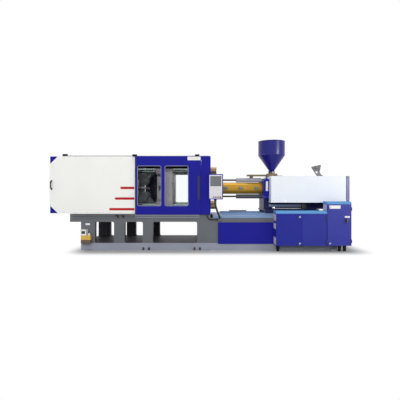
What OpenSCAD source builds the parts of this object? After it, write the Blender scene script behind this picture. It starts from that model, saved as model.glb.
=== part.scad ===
// Horizontal toggle injection moulding machine, millimetres, +Z up.
// X runs along the machine to the injection end, Y to the rear, the floor is Z = 0.
// The origin is on the floor, under the machine axis, by the fixed platen.

/* [Machine] */
// Height of the platens' lower edge above the bed
platen_up = 30; // [28:1:34]
// Round bores run on their shafts with this radial clearance
run_gap = 0.05; // [0.02:0.01:0.1]
// Gap between faces that slide past each other
slide_gap = 0.5; // [0.3:0.1:1]

/* [Bed] */
// Depth of the bed, front face to rear face
bed_depth = 1600; // [1560:10:1640]
// Thickness of the box-section side walls
bed_wall = 130; // [110:5:150]
// Height of the bed under the clamp unit
bed_top = 900; // [890:5:910]
// Height of the bed under the injection unit
table_seat = 800; // [790:5:810]
// Height of the bottom sill
sill_h = 175; // [150:5:200]
// Height of the top beam over the bays
beam_h = 197; // [180:1:210]
// Left end of the top beam, measured from the origin
bed_left = 3287; // [3240:1:3320]
// Right end of the bed, measured from the origin
bed_right = 3390; // [3350:5:3430]
// Left edge of the first leg, measured from the origin
leg_1_left = 3012; // [2990:1:3040]
// Width of the first leg
leg_1_w = 350; // [330:5:370]
// Width of the first bay
bay_1_w = 475; // [460:5:490]
// Width of the second leg
leg_2_w = 267; // [250:1:280]
// Width of the second bay
bay_2_w = 453; // [440:1:465]
// Width of the third leg
leg_3_w = 250; // [240:1:260]
// Width of the moulding drop bay
bay_3_w = 1105; // [1090:1:1120]
// Width of the leg under the fixed platen
leg_4_w = 524; // [510:1:540]
// Width of the service bay
bay_4_w = 1400; // [1380:1:1420]
// Corner radius of the bays
bay_r = 40; // [20:5:60]
// Thickness of the blue service panels
panel_t = 25; // [15:1:35]
// Height of the wear strips the moving platen slides on
strip_h = 15; // [10:1:20]
// Width of the wear strips
strip_w = 90; // [70:5:100]
// Thickness of the injection table plate
table_t = 57; // [45:1:65]

/* [Platens] */
// Side of the square platens
platen_w = 1250; // [1230:5:1260]
// Corner bevel of the platens
platen_bevel = 70; // [50:5:90]
// Thickness of the fixed platen
fixed_t = 355; // [340:5:370]
// Mould face of the fixed platen, measured left of the origin
fixed_face = 130; // [120:1:140]
// Thickness of the moving platen's plate
moving_t = 200; // [180:5:220]
// Depth of the ribbed box behind the moving platen's plate
moving_box = 230; // [210:5:250]
// Thickness of the tail platen
tail_t = 350; // [330:5:370]
// Open distance between the mould faces
daylight = 610; // [590:5:630]
// Tie bar diameter
tie_d = 115; // [110:1:120]
// Distance between tie bar axes
tie_pitch = 890; // [880:1:900]
// Diameter of the tie bar nuts
nut_d = 200; // [180:5:210]
// Length of the tie bar nuts
nut_l = 145; // [130:5:160]
// Bore of the locating ring in the fixed platen
locating_d = 160; // [150:1:170]
// Diameter of the nozzle recess behind the fixed platen
recess_d = 420; // [400:5:440]
// Spacing of the mould bolts
mould_pitch = 560; // [550:5:570]
// Diameter of the mould bolt holes
mould_hole_d = 24; // [20:1:28]

/* [Toggle] */
// Length of each toggle link between its pins
link_l = 375; // [370:1:380]
// Angle of the links to the machine axis
link_angle = 60; // [58:1:62]
// Height of the platen pins above the machine axis
pin_h = 520; // [515:1:525]
// Diameter of the main toggle pins
pin_d = 90; // [80:1:95]
// Outer radius of the link eyes at the main pins
eye_r = 82; // [78:1:85]
// Outer radius of the knee eyes
knee_r = 100; // [98:1:104]
// Distance from the tail pin to the crosshead link's pin
arm_l = 200; // [195:1:205]
// Angle between the rear link and its crosshead arm
arm_angle = 55; // [53:1:57]
// Diameter of the crosshead link pins
small_pin_d = 60; // [50:1:64]
// Outer radius of the crosshead link eyes
small_eye_r = 62; // [58:1:66]
// Length of the crosshead links
short_l = 180; // [175:1:185]
// Height of the crosshead pins above the machine axis
cross_pin_h = 260; // [255:1:265]
// Thickness of one toggle link plate
link_t = 59; // [50:1:60]
// Half width of the free channel between the front link plates
channel_h = 70; // [68:1:74]
// Distance from the tail platen's face to its pins
tail_reach = 240; // [235:1:250]
// Diameter of the crosshead guide rods
guide_d = 60; // [50:1:64]
// Distance of the guide rods from the machine axis
guide_y = 265; // [260:1:275]
// Half height of the crosshead's side arms
cross_arm_h = 30; // [26:1:32]
// Diameter of the clamp piston rod
piston_d = 100; // [80:5:110]
// Outer diameter of the clamp cylinder
clamp_cyl_d = 330; // [300:5:350]
// Length of the clamp cylinder
clamp_cyl_l = 900; // [850:10:950]

/* [Ejector] */
// Outer diameter of the ejector cylinder
ejector_d = 130; // [120:5:136]
// Length of the ejector cylinder
ejector_l = 190; // [180:5:200]
// Diameter of the ejector rod
ejector_rod_d = 50; // [44:1:52]

/* [Guards] */
// Left end of the clamp guards, measured from the origin
guard_left = 3795; // [3760:5:3830]
// Right end of the clamp guards, measured from the origin
guard_right = 1662; // [1655:1:1670]
// Bottom of the guards above the bed
guard_lift = 15; // [10:1:20]
// Top of the guards above the floor
guard_top = 2345; // [2330:5:2360]
// Thickness of the clamp guards
guard_t = 40; // [30:1:45]
// Bevel of the guards' outer corners
guard_bevel = 205; // [180:5:220]
// Depth of the end cover
end_cover_d = 235; // [220:5:250]
// Sheet of the end cover
end_cover_t = 20; // [12:1:24]
// Height of the guard handles
handle_h = 250; // [230:5:270]
// Thickness of the handle bows
handle_t = 24; // [18:1:28]
// Reach of the handle bows from the guards
handle_reach = 90; // [80:1:100]

/* [Gates] */
// Width of the sliding gates
gate_w = 1643; // [1635:1:1646]
// Height of the sliding gates
gate_h = 1445; // [1435:1:1450]
// Bottom of the gates above the floor
gate_z = 893; // [888:1:898]
// Thickness of the gates
gate_t = 45; // [40:1:50]
// Gap between a gate and the bed face it passes
gate_gap = 15; // [12:1:18]
// Width of the left window
window_1_w = 585; // [570:1:595]
// Width of the right window
window_2_w = 580; // [570:1:590]
// Left edge of the left window from the gate's left edge
window_1_x = 65; // [55:1:75]
// Width of the bar between the windows
mullion_w = 95; // [85:1:105]
// Height of the gate frame above the windows
window_top = 238; // [228:1:250]
// Bottom of the windows above the gate's bottom edge
window_z = 212; // [200:1:220]
// Corner radius of the windows
window_r = 40; // [30:1:50]
// Overlap of the panes behind the window edges
pane_lap = 20; // [15:1:25]
// Thickness of the panes
pane_t = 8; // [6:1:10]
// Height of the grip recess
grip_h = 600; // [580:5:620]
// Width of the grip recess
grip_w = 66; // [60:1:72]
// Depth of the grip recess
grip_depth = 25; // [18:1:28]
// Height of the top gate rail
rail_h = 12; // [10:1:14]
// Width of the fixed blue guards
fixed_guard_w = 232; // [220:1:240]

/* [Control panel] */
// Width of the control panel housing
hmi_w = 356; // [340:2:370]
// Height of the control panel housing
hmi_h = 621; // [600:1:640]
// Depth of the control panel housing
hmi_d = 128; // [115:1:140]
// Left edge of the housing from the origin
hmi_x = 169; // [165:1:175]
// Bottom of the housing above the floor
hmi_z = 1268; // [1255:1:1280]
// Margin of the bezel inside the housing edge
bezel_inset = 22; // [18:1:26]
// Width of the screen
screen_w = 270; // [255:1:280]
// Height of the screen
screen_h = 250; // [235:1:260]
// Diameter of the emergency stop button
estop_d = 42; // [36:1:46]
// Diameter of the panel buttons
button_d = 30; // [24:1:32]
// Distance between the panel buttons
button_pitch = 50; // [47:1:52]
// Travel of the panel buttons
button_travel = 6; // [4:1:7]

/* [Injection unit] */
// Front face of the injection housing from the origin
housing_x = 1640; // [1630:1:1650]
// Thickness of the housing's front plate
housing_t = 135; // [125:1:145]
// Height of the housing's front plate above the axis
housing_up = 242; // [236:1:250]
// Depth of the housing's front plate below the axis
housing_down = 282; // [275:1:290]
// Half width of the housing's front plate
housing_half = 400; // [390:5:410]
// Barrel outer diameter
barrel_d = 190; // [180:2:200]
// Screw diameter
screw_d = 70; // [65:1:75]
// Diameter of the barrel cover
cover_d = 310; // [300:1:314]
// Left end of the barrel cover from the origin
cover_x = 430; // [420:5:440]
// Diameter of the heater sockets
socket_d = 46; // [40:1:52]
// Nozzle tip from the origin
nozzle_tip = 20; // [10:1:30]
// Nozzle diameter
nozzle_d = 90; // [84:1:96]
// Height of the carriage cylinders from the axis
carriage_off = 222; // [220:1:226]
// Diameter of the carriage cylinders
carriage_d = 116; // [110:1:120]
// Length of the carriage cylinders
carriage_l = 690; // [670:5:710]
// Diameter of the carriage rods
carriage_rod_d = 44; // [40:1:50]
// Distance of the injection cylinders from the axis
inject_y = 285; // [275:1:295]
// Diameter of the injection cylinders
inject_d = 180; // [170:2:190]
// Length of the injection cylinders
inject_l = 700; // [680:5:720]
// Diameter of the injection rods
inject_rod_d = 80; // [70:2:84]
// Left face of the drive plate from the origin
drive_x = 2560; // [2545:5:2575]
// Thickness of the drive plate
drive_t = 130; // [120:5:140]
// Diameter of the screw motor
motor_d = 320; // [300:5:330]
// Length of the screw motor
motor_l = 420; // [400:5:440]
// Right end of the injection cover from the origin
inj_cover_right = 3677; // [3660:1:3690]
// Bottom of the injection cover below the axis
inj_cover_down = 374; // [365:1:380]
// Top of the injection cover above the axis
inj_cover_up = 302; // [295:1:307]
// Half width of the injection cover
inj_cover_half = 650; // [640:1:660]
// Sheet of the injection cover
inj_cover_t = 12; // [8:1:16]
// Width of the blue end strip
strip_end_w = 89; // [80:1:95]
// Distance of the carriage rails from the axis plane
rail_y = 420; // [410:5:430]
// Width of the carriage rails
rail_w = 70; // [60:2:80]
// Height of the carriage rails
rail_top = 50; // [44:1:56]

/* [Hopper] */
// Hopper axis from the origin
hopper_x = 1918; // [1914:1:1922]
// Hopper diameter
hopper_d = 716; // [700:2:730]
// Height of the hopper's cylinder
hopper_drum_h = 383; // [370:1:395]
// Height of the hopper's cone
hopper_cone_h = 449; // [440:1:460]
// Height of the slider under the hopper
slider_h = 76; // [70:1:80]
// Wall of the hopper
hopper_wall = 6; // [4:1:8]
// Diameter of the feed throat
throat_d = 110; // [100:2:116]
// Top of the hopper base and slide bar above the axis
slide_up = 368; // [363:1:371]
// Thickness of the slide bar
slide_t = 41; // [36:1:44]
// Width of the slide bar
slide_w = 190; // [180:2:200]
// Left end of the slide bar from the origin
slide_left = 1248; // [1240:1:1256]

/* [Cabinet] */
// Left side of the cabinet from the origin
cab_left = 1803; // [1796:1:1812]
// Width of the low cabinet
cab_low_w = 1232; // [1222:1:1242]
// Width of the tall cabinet
cab_tall_w = 584; // [574:1:594]
// Depth of the cabinet in front of the bed
cab_depth = 300; // [285:1:315]
// Bottom of the cabinet above the floor
cab_z = 147; // [140:1:155]
// Top of the low cabinet above the floor
cab_low_top = 923; // [915:1:930]
// Rise of the tall cabinet above the low one
cab_rise = 229; // [222:1:236]
// Height of the bevelled caps
cap_h = 66; // [60:1:72]
// Sheet of the cabinet
cab_t = 20; // [14:1:24]
// Thickness of the doors
door_t = 25; // [20:1:30]
// Gap round the doors
door_gap = 3; // [2:0.5:4]
// Diameter of the hinge barrels
hinge_d = 20; // [16:1:22]
// Length of the hinge barrels
hinge_l = 80; // [70:1:90]
// Diameter of the main switch knob
switch_d = 84; // [76:1:90]

/* [Pump set] */
// Diameter of the pump motor
pump_d = 330; // [310:2:350]
// Length of the pump motor
pump_l = 520; // [500:5:540]
// Height of the motor axis above the sill
pump_up = 245; // [235:1:255]

/* [Lubricator and cables] */
// Width of the lubricator reservoir
lube_w = 245; // [235:1:255]
// Height of the lubricator reservoir
lube_h = 200; // [190:1:210]
// Depth of the lubricator reservoir
lube_d = 140; // [130:1:150]
// Number of links in the drag chain
chain_n = 11; // [9:1:12]
// Pitch of the drag chain's links
chain_pitch = 46; // [44:1:50]
// Width of the drag chain
chain_w = 70; // [60:1:80]
// Diameter of the panel conduit
conduit_d = 48; // [40:1:52]
// Diameter of the thin lead
lead_d = 26; // [22:1:30]

/* [Hidden] */
$fn = 48;

blue = [0.17, 0.18, 0.56];
white = [0.95, 0.95, 0.93];
bed_grey = [0.42, 0.43, 0.47];
pale_blue = [0.49, 0.72, 0.91];
steel = [0.72, 0.73, 0.75];
cast_grey = [0.56, 0.54, 0.55];
dark = [0.12, 0.12, 0.14];
gold = [0.83, 0.66, 0.22];
brass = [0.68, 0.56, 0.36];
red = [0.72, 0.12, 0.13];
clear = [0.75, 0.8, 0.82, 0.35];
pale_grey = [0.87, 0.87, 0.89];

// Height of the clamp and injection axis above the floor
axis_h = bed_top + platen_up + platen_w / 2;

// Faces of the bed
front_y = -bed_depth / 2;
rear_y = bed_depth / 2;
inner_y = bed_depth / 2 - bed_wall;
leg_1_x = -leg_1_left;
bay_1_x = leg_1_x + leg_1_w;
leg_2_x = bay_1_x + bay_1_w;
bay_2_x = leg_2_x + leg_2_w;
leg_3_x = bay_2_x + bay_2_w;
bay_3_x = leg_3_x + leg_3_w;
leg_4_x = bay_3_x + bay_3_w;
bay_4_x = leg_4_x + leg_4_w;
leg_5_x = bay_4_x + bay_4_w;
bay_top = bed_top - beam_h;
panel_lap = 30;
pan_t = 35;
sole_t = 60;
lug_l = 120;
lug_w = 80;
lug_h = 25;
lug_hole_d = 28;
fitting_x = 414;
fitting_w = 76;
fitting_z = 735;
table_top = table_seat + table_t;

// Places along the clamp axis
half_platen = platen_w / 2;
tie_off = tie_pitch / 2;
fixed_x = -fixed_face;
fixed_back = fixed_x + fixed_t;
moving_face = fixed_x - daylight;
moving_back = moving_face - moving_t;
box_back = moving_back - moving_box;
ear_gap = 78;
platen_pin_x = box_back - eye_r - ear_gap;
tail_pin_x = platen_pin_x - 2 * link_l * cos(link_angle);
tail_face = tail_pin_x - tail_reach;
tail_back = tail_face - tail_t;
platen_z = axis_h - half_platen;
foot_w = 125;
pocket_off = 420;
pocket_w = 90;
pocket_l = 230;
pocket_t = 150;
fork_room = 12;
piston_in = 320;
leg_in = 70;
leg_t = 89;
leg_y = 32;
seat_y = 115;
rod_out = 160;
flange_t = 60;
flange_lip = 40;
screw_in = 100;
hook_x = 3017;
hook_w = 353;
hook_h = 335;
hook_t = 40;
hook_neck = 170;
catch_x = 2100;
catch_l = 170;
catch_half = 60;
head_l = 115;
chain_x = 818;
chain_h = 52;
chain_in = 60;
pump_in = 300;
bell_l = 100;
block_l = 240;
tie_end = 15;
thread_l = 500;
guide_end = box_back - 290;

// Toggle points of the upper half, X and height above the machine axis
knee = [tail_pin_x + link_l * cos(link_angle), pin_h - link_l * sin(link_angle)];
arm_turn = link_angle + arm_angle;
arm_pin = [tail_pin_x + arm_l * cos(arm_turn), pin_h - arm_l * sin(arm_turn)];
cross_rise = arm_pin[1] - cross_pin_h;
cross_x = arm_pin[0] + sqrt(short_l * short_l - cross_rise * cross_rise);
tail_pin = [tail_pin_x, pin_h];
platen_pin = [platen_pin_x, pin_h];
cross_pin = [cross_x, cross_pin_h];
// The open pivots: the pin moves inside a wider eye, whose middle is set off from the pin at rest
knee_play = 27;
knee_shift = [-24, -3];
arm_play = 14;
arm_shift = [4, 11];
// Layers across the toggle, distances from the machine's middle plane
layer_1 = channel_h + link_t;
layer_2 = layer_1 + slide_gap;
layer_3 = layer_2 + link_t;
layer_4 = layer_3 + slide_gap;
layer_5 = layer_4 + link_t;
fork_gap = channel_h / 2;
fork_out = channel_h - 1;
boss_r = guide_d / 2 + 20;
boss_l = 56;

// Guards and gates
guard_z = bed_top + guard_lift;
gate_in = -front_y + gate_gap;
gate_out = gate_in + gate_t;
gate_right = -guard_right + 7 + gate_w;
gate_x = gate_right - gate_w;
window_2_x = window_1_x + window_1_w + mullion_w;
window_h = gate_h - window_z - window_top;
front_windows = [[window_1_x, window_1_w], [window_2_x, window_2_w]];
rear_windows = [[window_2_x, window_2_w]];
hanger_w = 110;
hanger_out = 65;
guard_gap = 7;
end_out = 5;
fixed_guard_x = gate_right + guard_gap;
guard_sheet = 25;
grip_edge = 24;

// Control panel
bracket_t = 12;
hmi_back = -gate_out - bracket_t;
hmi_front = hmi_back - hmi_d;
bezel_t = 6;
button_z = hmi_z + bezel_inset + 34;
button_x = hmi_x + 130;
estop_x = button_x + 3 * button_pitch + 8;
stem_d = 16;
button_h = 12;
button_seat = hmi_front - bezel_t - button_travel - 1;

// Injection unit
housing_back = housing_x + housing_t;
block_end = 2080;
block_half = inject_y - inject_d / 2 - 10;
inj_cover_z = axis_h - inj_cover_down;
inj_cover_top = axis_h + inj_cover_up;
slide_top = axis_h + slide_up;
column_top = slide_top - 2 * slide_t;
hopper_out = slide_top + slider_h;
hopper_seam = hopper_out + hopper_cone_h;
hopper_rim = hopper_seam + hopper_drum_h;
seat_half = 142.5;
drive_half_y = 400;
drive_half_z = 190;
beam_half = 230;
beam_right = 3345;
shoe_h = 53;
rail_z = table_top + rail_top;
base_z = rail_z + shoe_h;
base_t = 40;
base_half = 500;
base_right = 3050;
shoe_l = 200;
slot_l = 540;
slot_in = 60;
seam_x = 1255;
seam_w = 12;
sleeve_wall = 45;
rod_end = 1450;
gauge_x = 2625;
gauge_y = -290;
gauge_z = base_z + base_t + 92;
gauge_d = 90;

// Cabinet
cab_front = front_y - cab_depth;
cab_body = cab_front + door_t;
cab_split = cab_left + cab_low_w;
cab_right = cab_split + cab_tall_w;
cab_tall_top = cab_low_top + cab_rise;
cab_mid = (cab_left + cab_split) / 2 + 11;

// Block between two corners
module block(x0, x1, y0, y1, z0, z1) {
    translate([x0, y0, z0]) cube([x1 - x0, y1 - y0, z1 - z0]);
}

// The same block at the front and at the rear, between two distances from the middle plane
module pair_y(x0, x1, near, far, z0, z1) {
    block(x0, x1, -far, -near, z0, z1);
    block(x0, x1, near, far, z0, z1);
}

// Round bar along X
module bar_x(x0, x1, y, z, d) {
    translate([x0, y, z]) rotate([0, 90, 0]) cylinder(h = x1 - x0, d = d);
}

// Round bar along Y
module bar_y(y0, y1, x, z, d) {
    translate([x, y1, z]) rotate([90, 0, 0]) cylinder(h = y1 - y0, d = d);
}

// Upright round bar
module bar_z(z0, z1, x, y, d) {
    translate([x, y, z0]) cylinder(h = z1 - z0, d = d);
}

// Plate whose outline lies in the XZ plane, between two Y faces
module plate_xz(y0, y1) {
    translate([0, y1, 0]) rotate([90, 0, 0]) linear_extrude(y1 - y0) children();
}

// Plate whose outline lies in the YZ plane, between two X faces
module plate_yz(x0, x1) {
    translate([x0, 0, 0]) rotate([90, 0, 90]) linear_extrude(x1 - x0) children();
}

// Rectangle with round corners, from its lower left corner
module round_rect(w, h, r) {
    translate([r, 0]) square([w - 2 * r, h]);
    translate([0, r]) square([w, h - 2 * r]);
    for (x = [r, w - r], y = [r, h - r]) translate([x, y]) circle(r);
}

// Flat bar with round ends between two points
module link_bar(p, q, rp, rq) {
    along = (q - p) / norm(q - p);
    side = [-along[1], along[0]];
    translate(p) circle(rp);
    translate(q) circle(rq);
    polygon([p + side * rp, q + side * rq, q - side * rq, p - side * rp]);
}

// Copy at the four tie bars
module at_tie_bars() {
    for (y = [-tie_off, tie_off], z = [-tie_off, tie_off]) translate([0, y, axis_h + z]) children();
}

// Holes for the four tie bars between two X planes
module tie_holes(x0, x1) {
    at_tie_bars() bar_x(x0 - 1, x1 + 1, 0, 0, tie_d + 2 * run_gap);
}

// Square platen plate with bevelled corners
module platen_plate(x0, x1) {
    b = platen_bevel;
    w = half_platen;
    plate_yz(x0, x1) translate([0, axis_h]) polygon([
        [-w + b, -w], [w - b, -w], [w, -w + b], [w, w - b],
        [w - b, w], [-w + b, w], [-w, w - b], [-w, -w + b]
    ]);
}

// Rectangle of mould bolt holes in a platen face
module mould_holes(x0, x1) {
    for (y = [-1, 1], z = [-1, 1])
        bar_x(x0, x1, y * mould_pitch / 2, axis_h + z * mould_pitch / 2, mould_hole_d);
}

// Outline of one bed side with its bays
module bed_side() {
    difference() {
        polygon([
            [leg_1_x, 0], [bed_right, 0], [bed_right, table_seat], [fixed_back, table_seat],
            [fixed_back, bed_top], [-bed_left, bed_top], [-bed_left, bay_top], [leg_1_x, bay_top]
        ]);
        translate([bay_1_x, sill_h]) round_rect(bay_1_w, bay_top - sill_h, bay_r);
        translate([bay_2_x, sill_h]) round_rect(bay_2_w, bay_top - sill_h, bay_r);
        translate([bay_3_x, sill_h]) round_rect(bay_3_w, bay_top - sill_h, bay_r);
        translate([bay_4_x + panel_lap, sill_h])
            round_rect(bay_4_w - 2 * panel_lap, bay_top - sill_h - panel_lap, bay_r);
    }
}

// Floor lug with an anchor hole, outside a bed side
module anchor_lug(x, side) {
    y = side * (bed_depth + lug_w) / 2;
    difference() {
        block(x - lug_l / 2, x + lug_l / 2, y - lug_w / 2, y + lug_w / 2, 0, lug_h);
        bar_z(-1, lug_h + 1, x, y, lug_hole_d);
    }
}

module bed_frame() {
    color(bed_grey) {
        plate_xz(front_y, -inner_y) bed_side();
        plate_xz(inner_y, rear_y) bed_side();
        // Inner flanges that carry the wear strips and the platens
        pair_y(-bed_left, fixed_back, half_platen - foot_w, inner_y, bay_top, bed_top);
        // Drip pan and cross walls
        block(leg_1_x, bed_right, -inner_y, inner_y, sill_h - pan_t, sill_h);
        for (x = [leg_3_x, leg_5_x, bed_right - sole_t])
            block(x, x + sole_t, -inner_y, inner_y, 0, bay_top - sole_t);
        for (x = [leg_1_x, leg_2_x]) {
            block(x, x + sole_t, -inner_y, inner_y, 0, sill_h);
            block(x, x + leg_2_w, -inner_y, inner_y, bay_top, bay_top + sole_t);
        }
        block(leg_4_x, bay_4_x, -inner_y, inner_y, 0, sill_h);
        block(bay_4_x - sole_t, bay_4_x, -inner_y, inner_y, sill_h, bay_top);
        block(-bed_left, -bed_left + sole_t, -inner_y, inner_y, bay_top, bed_top);
        // Wear strips under the moving and tail platens
        pair_y(tail_back - thread_l, fixed_x - 60, half_platen - strip_w, half_platen,
            bed_top, bed_top + strip_h);
        // Cable junction on the front
        block(fitting_x, fitting_x + fitting_w, front_y - fitting_w, front_y, fitting_z, fitting_z + 45);
        for (x = [leg_1_x + leg_1_w / 2, leg_4_x + leg_4_w / 2, bed_right - lug_l], side = [-1, 1])
            anchor_lug(x, side);
    }
}

// Blue panel over a service bay
module service_panel(y0, y1) {
    plate_xz(y0, y1) translate([bay_4_x, sill_h - 18])
        round_rect(cab_left - door_gap - bay_4_x, bay_top - sill_h + 5, 12);
}

module service_panels() {
    color(blue) {
        service_panel(front_y - panel_t, front_y);
        service_panel(rear_y, rear_y + panel_t);
    }
}

module injection_table() {
    color(pale_blue) {
        block(fixed_back + 60, bed_right, front_y + 20, rear_y - 20, table_seat, table_top);
        pair_y(fixed_back + 300, bed_right - 40, rail_y - rail_w / 2, rail_y + rail_w / 2, table_top, rail_z);
    }
}

// Pump motor with cooling fins, a coupling bell and the pump block, on two feet
module pump_motor() {
    x = bay_4_x + pump_in;
    z = sill_h + pump_up;
    coupling_x = x + pump_l;
    pump_x = coupling_x + bell_l;
    fin_t = 20;
    fin_pitch = 50;
    color(blue) {
        bar_x(x, coupling_x, 0, z, pump_d);
        for (i = [0:7]) bar_x(x + 60 + i * fin_pitch, x + 60 + fin_t + i * fin_pitch, 0, z, pump_d + 40);
        bar_x(coupling_x, pump_x, 0, z, pump_d - 120);
        block(pump_x, pump_x + block_l, -pump_d / 3, pump_d / 3, z - pump_d / 3, z + pump_d / 3);
        pair_y(x + 80, coupling_x - 80, 90, 150, sill_h, z - 100);
    }
}

// Core pockets in the back of a platen, between its tie bars
module core_pockets(x0, x1) {
    for (s = [-1, 1]) {
        mid = s * pocket_off;
        block(x0, x1, mid - pocket_w, mid + pocket_w, axis_h - pocket_l, axis_h + pocket_l);
        block(x0, x1, -pocket_l, pocket_l, axis_h + mid - pocket_w, axis_h + mid + pocket_w);
    }
}

module fixed_platen() {
    color(cast_grey) difference() {
        union() {
            platen_plate(fixed_x, fixed_back);
            pair_y(fixed_x, fixed_back, half_platen - foot_w, half_platen - platen_bevel,
                bed_top, platen_z + 1);
        }
        tie_holes(fixed_x, fixed_back);
        bar_x(fixed_x - 1, fixed_x + 70, 0, axis_h, locating_d);
        translate([fixed_x + 69, 0, axis_h]) rotate([0, 90, 0])
            cylinder(h = fixed_t - 68, d1 = locating_d, d2 = recess_d);
        mould_holes(fixed_x - 1, fixed_x + 60);
        core_pockets(fixed_back - pocket_t, fixed_back + 1);
    }
}

module tie_bars() {
    color(steel) at_tie_bars() bar_x(tail_back - thread_l, fixed_back + nut_l + tie_end, 0, 0, tie_d);
}

// Nut with a ring of screw heads on its outer face
module tie_nut(x, face) {
    difference() {
        union() {
            bar_x(x, x + nut_l, 0, 0, nut_d);
            for (a = [0:45:315])
                bar_x(face - 12, face + 12, 78 * cos(a), 78 * sin(a), 22);
        }
        bar_x(x - 20, x + nut_l + 20, 0, 0, tie_d + 2 * run_gap);
    }
}

module tie_bar_nuts() {
    color(brass) at_tie_bars() {
        tie_nut(fixed_back, fixed_back + nut_l);
        tie_nut(tail_back - nut_l, tail_back - nut_l);
    }
}

// Pair of ears with a pin bore; dir points from the pin to the platen
module ears(near, far, pin, root_x, r) {
    for (s = [-1, 1], side = [-1, 1]) {
        y0 = side > 0 ? near : -far;
        difference() {
            plate_xz(y0, y0 + far - near) {
                translate([pin[0], axis_h + s * pin[1]]) circle(r);
                translate([min(pin[0], root_x), axis_h + s * pin[1] - r])
                    square([abs(root_x - pin[0]), 2 * r]);
            }
            bar_y(y0 - 1, y0 + far - near + 1, pin[0], axis_h + s * pin[1], pin_d + 2 * run_gap);
        }
    }
}

module tail_platen() {
    color(cast_grey) {
        difference() {
            union() {
                platen_plate(tail_back, tail_face);
                pair_y(tail_back, tail_face, half_platen - foot_w, half_platen - platen_bevel,
                    bed_top + strip_h, platen_z + 1);
            }
            tie_holes(tail_back, tail_face);
            bar_x(tail_back - 1, tail_face + 1, 0, axis_h, piston_d + 20);
            core_pockets(tail_back - 1, tail_back + pocket_t);
        }
        ears(layer_4, layer_5, tail_pin, tail_face, eye_r);
        // Guide rods of the crosshead
        for (s = [-1, 1]) bar_x(tail_face - 1, guide_end, s * guide_y, axis_h, guide_d);
    }
}

module clamp_cylinder() {
    color(bed_grey) difference() {
        union() {
            bar_x(tail_back - clamp_cyl_l, tail_back, 0, axis_h, clamp_cyl_d);
            bar_x(tail_back - 60, tail_back, 0, axis_h, clamp_cyl_d + 90);
            bar_x(tail_back - clamp_cyl_l - 70, tail_back - clamp_cyl_l, 0, axis_h, clamp_cyl_d + 60);
        }
        bar_x(tail_back - clamp_cyl_l + 60, tail_back + 1, 0, axis_h, piston_d + 2 * run_gap);
    }
}

// White clamp guard between two Y faces, with a folded lip along the bottom
module clamp_guard(y0, y1, lip0, lip1) {
    b = guard_bevel;
    plate_xz(y0, y1) polygon([
        [-guard_left, guard_z + b], [-guard_left + b, guard_z], [-guard_right, guard_z],
        [-guard_right, guard_top], [-guard_left + b, guard_top], [-guard_left, guard_top - b]
    ]);
    block(-bed_left, -guard_right, lip0, lip1, bed_top, guard_z + 1);
}

module clamp_guards() {
    edge = bed_depth / 2;
    color(white) {
        clamp_guard(-edge, -edge + guard_t, -edge + 12, -edge + guard_t);
        clamp_guard(edge - guard_t, edge, edge - guard_t, edge - 12);
    }
}

module end_cover() {
    w = bed_depth / 2 - guard_t;
    x0 = -guard_left - end_out;
    x1 = x0 + end_cover_d;
    z0 = guard_z + 2;
    z1 = guard_top - 2;
    t = end_cover_t;
    color(blue) difference() {
        block(x0, x1, -w, w, z0, z1);
        block(x0 + t, x1 + 1, -w + t, w - t, z0 + t, z1 - t);
        for (i = [0:9], s = [-1, 1])
            translate([0, s * 300, axis_h - 190 + i * 40]) block(x0 - 1, x0 + t + 1, -160, 160, 0, 12);
    }
}

// Bow handle standing on a face; side is -1 in front and 1 behind
module bow_handle(x, z, side) {
    face = side * bed_depth / 2;
    out = face + side * handle_reach;
    grip = out - side * handle_t;
    foot = 1.6 * handle_t;
    slant = 0.55 * handle_reach;
    inner = slant + 0.4 * handle_t;
    plate_yz(x, x + handle_t) polygon([
        [face, z], [out, z + slant], [out, z + handle_h - slant], [face, z + handle_h],
        [face, z + handle_h - foot], [grip, z + handle_h - inner], [grip, z + inner], [face, z + foot]
    ]);
}

module guard_handles() {
    color(dark) for (side = [-1, 1]) bow_handle(-guard_left + 40, axis_h - 55, side);
}

// Top rail of a gate: a flat bar on the guard that deepens to a beam across the opening
module top_rail(y0, y1) {
    beam = 95;
    plate_xz(y0, y1) polygon([
        [-guard_left + 320, guard_top], [-guard_right, guard_top], [-guard_right, guard_top - beam],
        [fixed_back - 25, guard_top - beam], [fixed_back - 25, guard_top + rail_h],
        [-guard_left + 320, guard_top + rail_h]
    ]);
    block(-guard_left + 320, -guard_left + 440, y0, y1, guard_top + rail_h, guard_top + 55);
}

// Bottom guide of a gate: two strips on the bed face
module bottom_rail(y0, y1) {
    block(-guard_left + 600, gate_right - 40, y0, y1, gate_z - 90, gate_z - 62);
    block(-guard_left + 600, gate_right - 40, y0, y1, gate_z - 45, gate_z - 8);
}

module gate_rails() {
    edge = bed_depth / 2;
    color(steel) {
        top_rail(-edge, -edge + guard_t - 5);
        top_rail(edge - guard_t + 5, edge);
        bottom_rail(-edge - gate_gap - 8, -edge);
        bottom_rail(edge, edge + gate_gap + 8);
    }
}

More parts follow.
